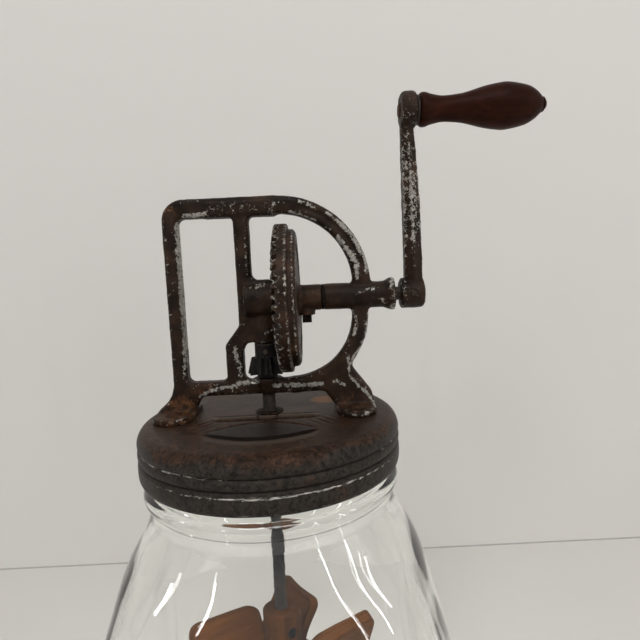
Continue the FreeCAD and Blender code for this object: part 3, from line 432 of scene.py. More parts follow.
def cast_skin(node, grains, relax):
    """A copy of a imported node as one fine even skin, its corners eased as in a mould. Its cells
    are given as a share of the casting grain."""
    shape = bmesh.new()
    shape.from_mesh(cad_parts[node].data)
    bmesh.ops.remove_doubles(shape, verts=shape.verts, dist=1e-6)
    cell = bpy.context.scene.churn_sizes.cast_grain * grains
    return reshaped(as_mesh(node + "_skin", shape),
                    ("REMESH", {"mode": "VOXEL", "voxel_size": cell}),
                    ("SMOOTH", {"factor": 0.5, "iterations": relax}))


def points_of(mesh, kind="co"):
    """The place, or the normal, of each vertex as a row."""
    rows = np.empty(len(mesh.vertices) * 3)
    mesh.vertices.foreach_get(kind, rows)
    return rows.reshape(-1, 3)


def edges_of(mesh, blur):
    """How sharply each vertex stands out, as 1 over its radius in millimetres. The values are
    averaged with the neighbours' a number of times."""
    spots, ways = points_of(mesh), points_of(mesh, "normal")
    count = len(spots)
    pairs = np.empty(len(mesh.edges) * 2, dtype=int)
    mesh.edges.foreach_get("vertices", pairs)
    first, second = pairs.reshape(-1, 2).T
    near = np.maximum(np.bincount(pairs, minlength=count), 1)
    gap = spots[second] - spots[first]
    bend = (np.bincount(first, np.einsum("ij,ij->i", gap, ways[first]), count)
            - np.bincount(second, np.einsum("ij,ij->i", gap, ways[second]), count))
    edge_length = np.mean(np.linalg.norm(gap, axis=1))
    curve = -4.0 * bend / near / edge_length ** 2 * MM
    for _ in range(blur):
        total = (np.bincount(first, curve[second], count)
                 + np.bincount(second, curve[first], count))
        curve = (curve + total / near) / 2
    return curve


def near_places(spots, places):
    """The highest share that soft balls at some places give to each point."""
    best = np.zeros(len(spots))
    for centre, reach, strength in places:
        offset = (spots / MM - np.array(centre)) / np.array(reach)
        share = np.clip(1.5 - np.linalg.norm(offset, axis=1), 0.0, 1.0) * strength
        best = np.maximum(best, share)
    return best


def near_lines(spots, lines):
    """The highest share that soft ropes give to each point. A rope is its points (x and
    height above the lid), half its width, its strength, and the middle and reach of the
    depths that it covers. Each also lies on the far side, a little weaker."""
    across = spots[:, (0, 2)] / MM - (0.0, LID_TOP / MM)
    depth = spots[:, 1] / MM
    best = np.zeros(len(spots))
    for points, width, strength, middle, reach in lines:
        cover = np.maximum(np.clip(1.5 - np.abs(depth - middle) / reach, 0.0, 1.0),
                           np.clip(1.5 - np.abs(depth + middle) / reach, 0.0, 1.0) * 0.8)
        for start, end in zip(points, points[1:]):
            along = np.subtract(end, start)
            part = np.clip((across - start) @ along / (along @ along), 0.0, 1.0)
            gap = np.linalg.norm(across - start - part[:, None] * along, axis=1)
            share = np.clip(1.3 - 0.6 * gap / width, 0.0, 1.0)
            best = np.maximum(best, share * strength * cover)
    return best


def set_layers(mesh, **layers):
    """Stores a value for each vertex, or one for all of them, under the layer's name."""
    for name, amounts in layers.items():
        values = np.broadcast_to(amounts, len(mesh.vertices)).astype(np.float32)
        mesh.attributes.new(name, "FLOAT", "POINT").data.foreach_set("value", values)


def push(mesh, amounts):
    """Moves each vertex along its normal by its own amount."""
    spots = points_of(mesh) + points_of(mesh, "normal") * np.asarray(amounts)[:, None]
    mesh.vertices.foreach_set("co", spots.ravel())
    mesh.update()


def wander(mesh, size, depth, seed=0.0):
    """Moves each vertex along its normal by soft noise of a size and depth."""
    shift = Vector((seed, seed, seed))
    push(mesh, [noise.noise(Vector(spot) / size + shift) * depth for spot in points_of(mesh)])


def lathe(shape, profile, steps, closed):
    """Turns a row of points (distance from the axis, height) in millimetres round the Z axis."""
    corners = [shape.verts.new((radius * MM, 0.0, height * MM)) for radius, height in profile]
    rim = [shape.edges.new(pair) for pair in zip(corners, corners[1:] + corners[:closed])]
    bmesh.ops.spin(shape, geom=corners + rim, cent=(0, 0, 0), axis=(0, 0, 1),
                   angle=2 * math.pi, steps=steps, use_merge=True)


def spun_across(node, profile, steps, low, high):
    """A closed profile of (radius, place along X) turned on the X axis of a node's box."""
    shape = bmesh.new()
    lathe(shape, profile, steps, True)
    bmesh.ops.remove_doubles(shape, verts=shape.verts, dist=1e-7)
    bmesh.ops.transform(shape, verts=shape.verts,
                        matrix=Matrix.Translation((low.x, 0.0, (low.z + high.z) / 2))
                        @ Matrix.Rotation(math.pi / 2, 4, "Y"))
    return outward(node + "_skin", shape)


def pulled_up(shape, ring):
    """Extrudes a ring of edges and gives its fresh edges and vertices."""
    pulled = bmesh.ops.extrude_edge_only(shape, edges=ring)["geom"]
    return ([item for item in pulled if isinstance(item, bmesh.types.BMEdge)],
            [item for item in pulled if isinstance(item, bmesh.types.BMVert)])


def flowing(knots, parts):
    """Points on a smooth curve through some knots."""
    rows = [Vector(knot) for knot in knots]
    rows = [rows[0] * 2 - rows[1]] + rows + [rows[-1] * 2 - rows[-2]]
    curve = []
    for before, start, end, after in zip(rows, rows[1:], rows[2:], rows[3:]):
        for part in range(parts):
            t = part / parts
            curve.append((start * 2 + (end - before) * t
                          + (before * 2 - start * 5 + end * 4 - after) * t ** 2
                          + (start * 3 - before - end * 3 + after) * t ** 3) / 2)
    return curve + [rows[-2]]


# Glass jar, in millimetres


JAR_NECK, JAR_CORNER, JAR_BODY, JAR_RISE, JAR_HEEL = 57.4, 28.0, 84.0, 96.0, 10.0
JAR_WALL, JAR_FLOOR, JAR_SIDES = 4.0, 7.0, 192
INSIDE_TOP = 176.0  # the wall's inside follows its outside up to here
JAR_SHOULDER = [  # share of the swell below the neck, corner, bow, share of the rise
    (0.93, 1.05, 5.0, 0.165), (0.775, 1.18, 2.6, 0.375), (0.605, 1.38, 1.75, 0.565),
    (0.43, 1.65, 1.25, 0.73), (0.145, 1.9, 0.92, 0.875),
]
NECK_DROP, BEAD_IN, BEAD_DROP, BEAD_RADIUS = 13.4, 1.25, 7.65, 4.25
THREAD_LEVELS = (3.4, 10.2)  # above the lid's rim
THREAD = [(0.0, -2.2), (0.5, -1.2), (1.35, 0.0), (0.5, 1.2), (0.0, 2.2)]
LIP = [(0.0, 1.6), (0.4, 0.5), (1.3, 0.0), (3.6, 0.0), (4.4, 0.6), (4.8, 1.8)]


def jar_reach(half, corner, bow, angle):
    """Distance from the jar's axis to its wall in one direction of a level outline."""
    angle = abs((angle + math.pi / 4) % (math.pi / 2) - math.pi / 4)
    side = half - bow
    reach = bow - corner
    middle = (side + math.sqrt(max(2 * reach ** 2 - side ** 2, 0.0))) / 2
    swing = math.atan2(middle, middle - side) if middle > 1e-9 else 0.0
    meet = math.atan2(bow * math.sin(swing), side + bow * math.cos(swing))
    if angle < meet:
        across, radius = Vector((side, 0.0)), bow
    else:
        across, radius = Vector((middle, middle)), corner
    way = Vector((math.cos(angle), math.sin(angle)))
    inward = across.dot(way)
    return inward + math.sqrt(radius ** 2 - across.length_squared + inward ** 2)


def jar_rows(inset, floor):
    """Rows of (half width, corner radius, bow, height) from the foot to the neck."""
    half = (JAR_HIGH.x - JAR_LOW.x) / MM / 2
    collar = JAR_NECK - 0.4
    knots = [
        (half - JAR_HEEL * 0.9, JAR_CORNER - 2, half * 6, floor),
        (half - JAR_HEEL * 0.3, JAR_CORNER, half * 8, floor + JAR_HEEL * 0.22),
        (half, JAR_CORNER, half * 8, floor + JAR_HEEL),
        (half, JAR_CORNER, half * 8, JAR_BODY * 0.6),
        (half, JAR_CORNER, half * 6.5, JAR_BODY),
    ]
    knots += [(JAR_NECK + (half - JAR_NECK) * swell, JAR_CORNER * bend, half * bow,
               JAR_BODY + JAR_RISE * rise) for swell, bend, bow, rise in JAR_SHOULDER]
    knots.append((collar, collar * 0.9903, collar * 1.012, JAR_BODY + JAR_RISE))
    return [(size - inset, bend - inset, bow - inset, level)
            for size, bend, bow, level in flowing(knots, 7)]


def jar_neck():
    """Radii and heights of the neck: bead, two threads and lip outside, then down inside."""
    mouth = JAR_TOP / MM
    rim = LID_RIM / MM
    rows = [(JAR_NECK, rim - NECK_DROP)]
    for part in range(9):
        turn = math.radians(-72 + 18 * part)
        rows.append((JAR_NECK - BEAD_IN + BEAD_RADIUS * math.cos(turn),
                     rim - BEAD_DROP + BEAD_RADIUS * math.sin(turn)))
    for level in THREAD_LEVELS:
        rows += [(JAR_NECK + out, rim + level + up) for out, up in THREAD]
    rows += [(JAR_NECK - inward, mouth - down) for inward, down in LIP]
    inside = JAR_NECK - LIP[-1][0]
    return rows + [(inside, rim - 3.0), (inside, rim - 14.0)]


class CHURN_OT_glass_jar(bpy.types.Operator):
    """Blow the square glass jar with its sloping shoulders and threaded neck"""
    bl_idname = "churn.glass_jar"
    bl_label = "Glass jar"

    def execute(self, context):
        rows = jar_rows(0.0, 0.0)
        rows += [(radius, radius, radius, level) for radius, level in jar_neck()]
        rows += [row for row in reversed(jar_rows(JAR_WALL, JAR_FLOOR)) if row[3] < INSIDE_TOP]
        shape = bmesh.new()
        bmesh.ops.create_circle(shape, cap_ends=True, radius=0.05, segments=JAR_SIDES)
        ring, fresh = list(shape.edges), list(shape.verts)
        for number, (*outline, level) in enumerate(rows):
            if number:
                ring, fresh = pulled_up(shape, ring)
            for vertex in fresh:
                turn = math.atan2(vertex.co.y, vertex.co.x)
                reach = jar_reach(*outline, turn) * MM
                vertex.co = (reach * math.cos(turn), reach * math.sin(turn), level * MM)
        bmesh.ops.contextual_create(shape, geom=ring)
        mesh = outward("glass_jar_skin", shape)
        wander(mesh, 22 * MM, context.scene.churn_sizes.glass_wave)
        jar = store(mesh, "jar", "clear_glass", finish_glass(), *JAR_NODES)
        jar.visible_shadow = False
        return {"FINISHED"}


# Screw lid


LID_PROFILE = [  # radius, height below the lid's top
    (55.0, 0.0), (57.2, 0.35), (59.0, 1.3), (60.4, 2.9), (61.2, 4.6), (61.5, 6.2),
    (61.45, 7.0), (61.1, 7.7), (60.4, 8.2), (60.9, 8.7), (61.4, 9.5), (61.6, 10.6),
    (61.45, 11.8), (61.1, 12.5), (60.3, 13.05), (60.95, 13.7), (61.4, 14.6), (61.6, 16.0),
    (61.6, 18.5), (61.5, 20.4), (61.3, 21.4), (60.9, 22.3),
]
LID_GROOVES = (8.2, 13.05)
LID_FLAT, LID_SIDE = LID_PROFILE[0][0], 58.0  # radii where the flat ends and the side starts
LID_TIN, LID_STEPS = 0.8, 288
VENT_X, VENT_Y, VENT_HALF, VENT_BACK, VENT_FRONT = -1.0, -30.5, 25.2, 13.0, -9.6
FOLD_Y, FOLD_NOTCHES = -9.6, (-4.5, 4.2)
FINE_HALF, FINE_FRONT, FINE_BACK = 31.0, -17.0, 25.0  # the finer patch of mesh at the vent
LID_STAIN = ((27, 17, LID_TOP / MM), (7.5, 7, 4), 1.0)


def vent_lines(across):
    """The vent's back crease and front edge at a place across it, or None beside it."""
    share = abs(across) / VENT_HALF
    if share >= 1.0:
        return None
    bow = 1.0 - share ** 2
    return VENT_BACK * bow, VENT_FRONT * bow


def hump(distance, width):
    """1 at no distance, fading to 0 past a width."""
    return np.exp(-(distance / width) ** 2)


def lid_relief(x, y, lift):
    """How far the pressed vent raises or lowers the lid's top at a point."""
    across, along = x - VENT_X, y - VENT_Y
    lines = vent_lines(across)
    rise = 0.0
    if lines is not None:
        back, front = lines
        fit = min(1.0, (back - front) / 9.0)
        if front < along < back:
            part = (back - along) / (back - front)
            rise = lift * fit * part ** 1.2
        elif front - 6.0 < along <= front:
            part = (front - along) / 6.0
            rise = -0.35 * fit * (1.0 - part) ** 2
        rise -= 0.45 * fit * hump(along - back, 0.9)
    ends = max(0.0, 1.0 - (abs(across) / 25.5) ** 10)
    for height, place, width in ((0.7, 0.0, 1.5), (-0.6, -3.4, 1.2), (-0.3, 3.2, 1.0)):
        rise += height * hump(y - FOLD_Y - place, width) * ends
    for notch in FOLD_NOTCHES:
        rise -= 0.9 * hump(x - notch, 0.5) * hump(y - FOLD_Y, 1.2)
    for side in (-1, 1):
        corner = math.hypot(across - side * 27.0, y + 18.0)
        crease = (across - side * 27.0) * side * 0.8 + (y + 18.0) * 0.6
        rise += 0.25 * hump(corner, 6.0) * math.cos(crease * 1.7)
    return rise


def vent_tarnish(x, y):
    """Darker on the vent's flap and towards +x. Painted shade: darker in the slit under the flap's
    raised front edge and in the fold's creases and notches. Negative for painted highlight on the
    fold's ridge and in the trough in front of the vent, where the tin is also smoother and greyer.
    """
    across, along = x - VENT_X, y - VENT_Y
    # painted shade in the fold's two creases and painted highlight on its ridge
    fold = hump(y - FOLD_Y + 3.6, 1.2) + 0.9 * hump(y - FOLD_Y - 3.4, 1.0)
    fold -= 1.1 * hump(y - FOLD_Y, 2.0)
    # painted shade in the two notches pressed into the fold
    for notch in FOLD_NOTCHES:
        fold += 2.2 * hump(x - notch, 0.7) * hump(y - FOLD_Y, 2.5)
    fold *= abs(across) < 24.0
    # darker towards +x
    fold += 0.45 * min(1.0, max(0.0, (x - 12.0) / 25.0))
    lines = vent_lines(across)
    if lines is None:
        return fold
    back, front = lines
    fit = min(1.0, (back - front) / 5.0)
    # darker on the flap
    if front + 0.2 < along < back:
        return max(fold, 0.95 * fit)
    # painted shadow in the slit under the flap's raised front edge
    if front - 0.9 < along <= front + 0.2:
        return 1.5 * fit
    # lighter grey in the trough in front of the flap: partly a painted highlight, partly smoother
    # tin
    if front - 7.0 < along <= front - 0.7:
        return -1.0 * fit * (1.0 - abs((front - along - 4.0) / 3.2) ** 2 * 0.8)
    return fold


class CHURN_OT_screw_lid(bpy.types.Operator):
    """Press the tin lid with its rolled bands and its vent"""
    bl_idname = "churn.screw_lid"
    bl_label = "Screw lid"

    def execute(self, context):
        sizes = context.scene.churn_sizes
        top = LID_TOP / MM
        shape = bmesh.new()
        rings = [(radius, 0.0) for radius in np.arange(1.0, LID_FLAT - 0.5, 1.3)]
        rings += flowing(LID_PROFILE, 3)
        lathe(shape, [(radius, top - drop) for radius, drop in rings], LID_STEPS, False)
        hub = [edge for edge in shape.edges if edge.is_boundary
               and edge.verts[0].co.xy.length < 2 * MM]
        bmesh.ops.contextual_create(shape, geom=hub)
        close = [edge for edge in shape.edges if all(
            abs(vertex.co.x / MM - VENT_X) < FINE_HALF
            and FINE_FRONT < vertex.co.y / MM - VENT_Y < FINE_BACK for vertex in edge.verts)]
        bmesh.ops.subdivide_edges(shape, edges=close, cuts=3, use_grid_fill=True)
        bmesh.ops.triangulate(shape, faces=[face for face in shape.faces
                                            if len(face.verts) > 4 and face.calc_area() < 1e-5])
        for vertex in shape.verts:
            x, y = vertex.co.x / MM, vertex.co.y / MM
            if math.hypot(x, y) < LID_FLAT:
                vertex.co.z += lid_relief(x, y, sizes.vent_lift / MM) * MM
        mesh = outward("screw_lid_skin", shape)
        wander(mesh, 12 * MM, sizes.lid_dent)
        mesh = reshaped(mesh, ("SOLIDIFY", {"thickness": LID_TIN * MM, "offset": -1.0}))
        spots = points_of(mesh)
        drop = top - spots[:, 2] / MM
        angle = np.arctan2(spots[:, 1], spots[:, 0])
        side = np.linalg.norm(spots[:, :2], axis=1) / MM > LID_SIDE
        first, second = LID_GROOVES
        # painted highlights: a line below each groove of the rolled bands and one along the bottom
        # edge
        upper = hump(drop - first - 0.1, 0.5) * (0.42 + 0.25 * np.sin(angle * 3 + 2))
        lower = hump(drop - second - 2.1, 0.55) * (0.55 + 0.25 * np.sin(angle * 2 + 4.4))
        band_glint = np.maximum(np.maximum(upper, lower), hump(drop - 21.6, 0.4) * 0.38)
        # painted shade in the lid's two grooves
        groove_shade = np.maximum(hump(drop - first, 0.35), hump(drop - second, 0.45))
        flat = [vent_tarnish(x / MM, y / MM) for x, y in spots[:, :2]]
        set_layers(mesh, wear=band_glint * side, tarnish=np.where(side, groove_shade * 0.9, flat),
                   rust=0.85 - 0.75 * np.clip((drop - 1.0) / 5.0, 0, 1),
                   stain=near_places(spots, [LID_STAIN]))
        store(mesh, "lid", "rusted_tinplate", finish_tin(), "screw_lid")
        return {"FINISHED"}


# Castings


FRONT = (-4.6, 2.8)  # middle and reach of the depths that a band on the faces covers
LOW_FRONT = (-8.0, 8.0)
RUBBED_AND_LIT = [  # points (x, height above the lid), half width, strength, depths: millimetres
    # The first two ropes lie on the left post's inner side face: partly wear, partly a painted
    # highlight where that face catches the light.
    ([(-37.8, 91), (-37.9, 70), (-38.0, 52)], 0.9, 1.0, 0.0, 9.0),
    ([(-38.0, 52), (-38.2, 38), (-38.6, 24)], 0.6, 0.9, 0.0, 9.0),
    ([(-33.7, 94.8), (-24.5, 95.0)], 0.9, 1.0, *FRONT),
    ([(19.5, 99.0), (24.7, 96.7), (32.2, 92.9), (37.4, 88.9)], 0.6, 0.95, *FRONT),
    ([(37.4, 88.9), (42.5, 83.3), (46.1, 77.7), (49.0, 71.4), (49.5, 66)], 1.0, 0.98, *FRONT),
    ([(13.8, 94.7), (19.9, 93), (27.4, 89.8), (33.4, 85.3)], 0.35, 1.0, *FRONT),
    ([(36.2, 81.3), (39.9, 77.3), (43.2, 72.5), (45, 69.3), (44.3, 63.2)], 1.1, 0.98, *FRONT),
    ([(42.0, 47.2), (43.6, 44), (43.7, 41.2), (42, 35.8)], 0.8, 0.9, *FRONT),
    ([(49.4, 46.4), (48.1, 35.4), (45.5, 30), (41.3, 24.6), (38.9, 20.7)], 0.7, 0.9, *FRONT),
    ([(39, 25.5), (39.3, 16.7), (43.1, 11.6), (47.3, 7.7), (50.3, 3.1)], 0.7, 0.9, *LOW_FRONT),
    ([(34.4, 4.9), (36.3, 2.8), (40, 1.3), (45.3, 1.3), (48.8, 2.5)], 0.5, 0.74, -16.0, 4.0),
    ([(-32.7, 9.4), (-28.5, 12), (-22.9, 13.3), (-16.5, 14.2)], 0.7, 0.95, *FRONT),
    ([(-16.5, 14.2), (-8.4, 15.7), (-5.2, 15.9)], 1.1, 0.95, *FRONT),
    ([(3.4, 13.7), (8.9, 13.1), (15.3, 13.2), (23.2, 13.1), (28, 13.3)], 0.9, 0.98, *FRONT),
    ([(28, 13.3), (32.8, 14.2), (37, 12)], 0.6, 0.9, *FRONT),
    ([(-32.7, 9.4), (-32.2, 6), (-34, 3.4)], 0.9, 1.0, -9.0, 5.0),
    ([(-33.6, 4.8), (-37.1, 3.1), (-41, 2)], 0.5, 0.7, -15.5, 4.0),
    ([(-14.2, 32.5), (-14.0, 28.5), (-13.0, 23.6), (-12.5, 19.6)], 1.0, 0.88, *FRONT),
    ([(60.6, 61), (61.2, 55), (60.8, 47)], 1.2, 0.9, 0.0, 9.0),
    ([(55.2, 53), (57.5, 51)], 0.9, 0.7, -7.0, 4.0),
    ([(44.8, 55.6), (49.6, 57.2), (54, 58)], 0.8, 0.62, -7.0, 4.0),
    ([(-6.8, 84.4), (-6.6, 74.4), (-6.9, 70.5)], 0.4, 0.7, *FRONT),
    ([(0.5, 38.6), (3.2, 39.8)], 0.9, 0.62, *FRONT),
]
FLECKED = [  # centre (x, depth, height above the lid), reach, strength
    ((-1, -5, 61), (5, 3, 1.6), 0.62),
    ((-3, -5, 55.6), (3.5, 3, 2.2), 0.55),
    ((4, -5, 52), (4, 3, 2.6), 0.5),
    ((8.5, -5, 98.6), (5, 3, 1.4), 0.6),
    ((-10, -5, 97), (22, 3, 3), 0.42),
    ((-41.5, -4.5, 60), (3, 3, 34), 0.15),
]
FRAME_RUST = [
    ((-41, -10, 3.5), (14, 15, 12), 0.56),
    ((-42, -4, 97), (7, 6, 8), 0.42),
    ((-42, 0, 30), (5, 5, 25), 0.34),
    ((40, -10, 3.5), (12, 13, 7), 0.42),
    ((-30, -4, 13), (9, 6, 5), 0.42),
    ((10, -4, 12), (30, 5, 5), 0.28),
    ((12, -4, 99), (10, 5, 5), 0.28),
]
BOW_GROOVE = [([(21.5, 96), (29.8, 92), (36, 87), (40.6, 81.3), (44.6, 75), (47.1, 68.5)],
               0.7, 1.0, *FRONT)]


def above_lid(places):
    return [((x, y, height + LID_TOP / MM), reach, strength)
            for (x, y, height), reach, strength in places]


class CHURN_OT_gear_frame(bpy.types.Operator):
    """Cast the frame that carries the bearings"""
    bl_idname = "churn.gear_frame"
    bl_label = "Gear frame"

    def execute(self, context):
        mesh = cast_skin("gear_frame", 1.15, 4)
        push(mesh, near_lines(points_of(mesh), BOW_GROOVE) * -0.6 * MM)
        wander(mesh, 9 * MM, 0.14 * MM)
        wander(mesh, 1.6 * MM, 0.11 * MM, 7.0)
        spots = points_of(mesh)
        rim = np.clip(edges_of(mesh, 5) * 1.2, 0.0, 0.34)
        # wear, and a painted highlight on the left post's inner side face
        worn = np.maximum(near_lines(spots, RUBBED_AND_LIT), near_places(spots, above_lid(FLECKED)))
        apart = np.abs(spots[:, 0] - WASHER_HIGH.x) > 2 * MM
        set_layers(mesh, wear=np.maximum(rim, worn) * apart,
                   rust=near_places(spots, above_lid(FRAME_RUST)))
        iron = finish_iron("japanned_iron", context.scene.churn_colours.iron, -0.16)
        store(mesh, "lid", "japanned_iron", iron, "gear_frame")
        return {"FINISHED"}


class CHURN_OT_gears(bpy.types.Operator):
    """Cast the crown gear and the pinion"""
    bl_idname = "churn.gears"
    bl_label = "Gears"

    def execute(self, context):
        wheel = cast_skin("drive_gear", 0.8, 2)
        wander(wheel, 1.5 * MM, 0.10 * MM)
        spots = points_of(wheel)
        from_axis = np.hypot(spots[:, 1], spots[:, 2] - (SHAFT_LOW.z + SHAFT_HIGH.z) / 2) / MM
        rim = np.clip(edges_of(wheel, 3) * 0.9, 0.0, 0.55)
        apart = np.abs(spots[:, 0] - WASHER_LOW.x) > 3 * MM
        set_layers(wheel, wear=rim * apart * np.clip(from_axis / 14.0, 0.2, 1.0), rust=0.30)
        iron = finish_iron("gear_iron", shade(context.scene.churn_colours.iron, 1.25), -0.10)
        store(wheel, "crank", "japanned_iron", iron, "drive_gear")

        small = cast_skin("pinion", 0.6, 2)
        set_layers(small, wear=np.clip(edges_of(small, 2) * 0.25, 0.0, 0.3), rust=0.0)
        # painted shade: a darker iron than the frame's stands for the shadow that the pinion sits
        # in
        pinion_shade = finish_iron("shaded_iron", tone(26, 24, 23), -0.25, 0.30)
        store(small, "dasher", "dark_iron", pinion_shade, "pinion")
        return {"FINISHED"}


ARM_WEAR = [  # centre, reach, strength
    ((72, -5, 318), (4, 3, 26), 0.62),
    ((69, -3, 318), (2.2, 5, 30), 0.55),
    ((75, -3, 318), (2.2, 5, 26), 0.45),
    ((67, 0, 272), (2.5, 8, 8), 0.3),
    ((70, -8, 352), (4, 3, 3), 0.2),
]
COLLAR, WAIST, BELLY, GRIP_BORE = 7.6, 5.65, 10.2, 2.49
GRIP_SHAPE = [  # radius, share of the length from the arm outwards
    (COLLAR * 0.9, 0.0), (COLLAR * 0.99, 0.02), (COLLAR * 0.98, 0.05), (COLLAR * 0.86, 0.1),
    (WAIST, 0.195), (WAIST * 1.1, 0.325), (WAIST * 1.25, 0.4), (BELLY * 0.87, 0.52),
    (BELLY * 0.98, 0.633), (BELLY, 0.715), (BELLY * 0.85, 0.854), (BELLY * 0.66, 0.925),
    (BELLY * 0.48, 0.965), (BELLY * 0.28, 1.0),
]


class CHURN_OT_crank(bpy.types.Operator):
    """Forge the crank arm and its turned wooden grip"""
    bl_idname = "churn.crank"
    bl_label = "Crank and grip"

    def execute(self, context):
        arm = cast_skin("crank_arm", 0.7, 5)
        wander(arm, 4 * MM, 0.22 * MM)
        wander(arm, 1.3 * MM, 0.08 * MM, 3.0)
        rim = np.clip(edges_of(arm, 5) * 1.1, 0.0, 0.30)
        set_layers(arm, wear=rim + near_places(points_of(arm), ARM_WEAR) * 0.9, rust=0.12)
        iron = finish_iron("arm_iron", shade(context.scene.churn_colours.iron, 1.1), -0.16)
        store(arm, "crank", "japanned_iron", iron, "crank_arm")

        span = (GRIP_HIGH.x - GRIP_LOW.x) / MM
        profile = flowing([(radius, part * span) for radius, part in GRIP_SHAPE], 6)
        profile += [(GRIP_BORE, span), (GRIP_BORE, 0.0)]
        grip = spun_across("wooden_grip", profile, 96, GRIP_LOW, GRIP_HIGH)
        store(grip, "grip", "polished_wood", finish_grip(), "wooden_grip")
        return {"FINISHED"}


# Dasher


BLADE_DROP, BLADE_REACH, BLADE_SIDE, BLADE_YAW, BLADE_TILT = 110.4, 47.2, 2.5, 32.6, 24.5
ROD_ROW = 0.55 * MM  # height of a row of the rod's faces
CRUST_DROP = 62.0  # from the lid's rim down to the rod's cleaner end, in millimetres


def board_space(number):
    """The matrix that takes the scene's place to a blade's own: length, thickness, depth."""
    place = (Matrix.Translation((0, 0, LID_TOP - BLADE_DROP * MM))
             @ Matrix.Rotation(math.radians(90 * number), 4, "Z")
             @ Matrix.Translation((-BLADE_SIDE * MM, BLADE_REACH * MM, 0))
             @ Matrix.Rotation(math.radians(BLADE_YAW - 90), 4, "Z")
             @ Matrix.Rotation(math.radians(-BLADE_TILT), 4, "X"))
    return place.inverted()


def set_board(mesh, matrix):
    """Stores each vertex's place in a board's own directions, for its grain."""
    own = np.array([matrix @ vertex.co for vertex in mesh.vertices], dtype=np.float32)
    mesh.attributes.new("board", "FLOAT_VECTOR", "POINT").data.foreach_set(
        "vector", own.ravel())


def pitted_rod(pit_depth):
    """The dasher's rod, corroded from the dasher up to just below the lid's top."""
    low, high = ROD_LOW.z, ROD_HIGH.z
    shape = bmesh.new()
    bmesh.ops.create_circle(shape, cap_ends=True, radius=(ROD_HIGH.x - ROD_LOW.x) / 2,
                            segments=48)
    bmesh.ops.translate(shape, verts=shape.verts, vec=(0, 0, low))
    ring = list(shape.edges)
    rows = int((high - low) / ROD_ROW)
    for _ in range(rows):
        ring, fresh = pulled_up(shape, ring)
        bmesh.ops.translate(shape, verts=fresh, vec=(0, 0, (high - low) / rows))
    bmesh.ops.contextual_create(shape, geom=ring)
    rod = outward("dasher_spindle_skin", shape)
    pits, crust = [], []
    for spot in points_of(rod):
        above = (spot[2] - LID_RIM) / MM + CRUST_DROP
        share = 0.2 + 0.8 * min(1.0, max(0.0, above / 8.0)) * (spot[2] < LID_TOP - 2 * MM)
        pit = noise.fractal(Vector(spot) / (2.6 * MM), 0.7, 2.0, 3) * 1.8
        pits.append(-min(1.4, max(0.0, 0.3 + pit)) * pit_depth * share)
        crust.append(max(0.0, 1.25 * share - 0.25) * min(1.0, max(0.3, 1.1 - pit)))
    push(rod, pits)
    set_layers(rod, crust=crust)
    return rod


class CHURN_OT_dasher(bpy.types.Operator):
    """Build the wooden dasher on its steel rod"""
    bl_idname = "churn.dasher"
    bl_label = "Dasher"

    def execute(self, context):
        base = context.scene.churn_colours.board_wood
        wood = finish_board("raw_wood", base)
        for number in range(4):
            node = f"dasher_blade_{number + 1}"
            board = cast_skin(node, 1.0, 1)
            wander(board, 12 * MM, 0.15 * MM, number * 3.0)
            wander(board, 2 * MM, 0.08 * MM, number * 5.0)
            set_board(board, Matrix.Translation((0.02 * number, 0.03 * number, 0))
                      @ board_space(number))
            set_layers(board, wear=np.clip(edges_of(board, 4) * 1.2, 0.0, 1.0))
            store(board, "dasher", "raw_wood", wood, node)
        hub = cast_skin("dasher_hub", 1.0, 1)
        wander(hub, 8 * MM, 0.1 * MM, 2.0)
        set_board(hub, Matrix.Rotation(math.pi / 2, 4, "Y"))
        set_layers(hub, wear=np.clip(edges_of(hub, 4) * 0.9, 0.0, 1.0))
        dark_wood = finish_board("hub_wood", shade(base, 0.68))
        store(hub, "dasher", "raw_wood", dark_wood, "dasher_hub")
        rod = pitted_rod(context.scene.churn_sizes.rod_pit)
        steel = finish_steel("rod_steel", tone(66, 60, 55), 0.35, 0.55)
        store(rod, "dasher", "bare_steel", steel, "dasher_spindle")
        return {"FINISHED"}


# Fittings, in millimetres


WASHER_LAP = 0.45  # how far the washer reaches into its neighbours
SHAFT_GAP = 0.05
NAIL_TURN, NAIL_DROP = 36.0, 112.4
NAIL_PARTS = ((1.2, -9.8, 8.3), (2.3, -10.3, -9.4))  # shank and head: radius, start, end


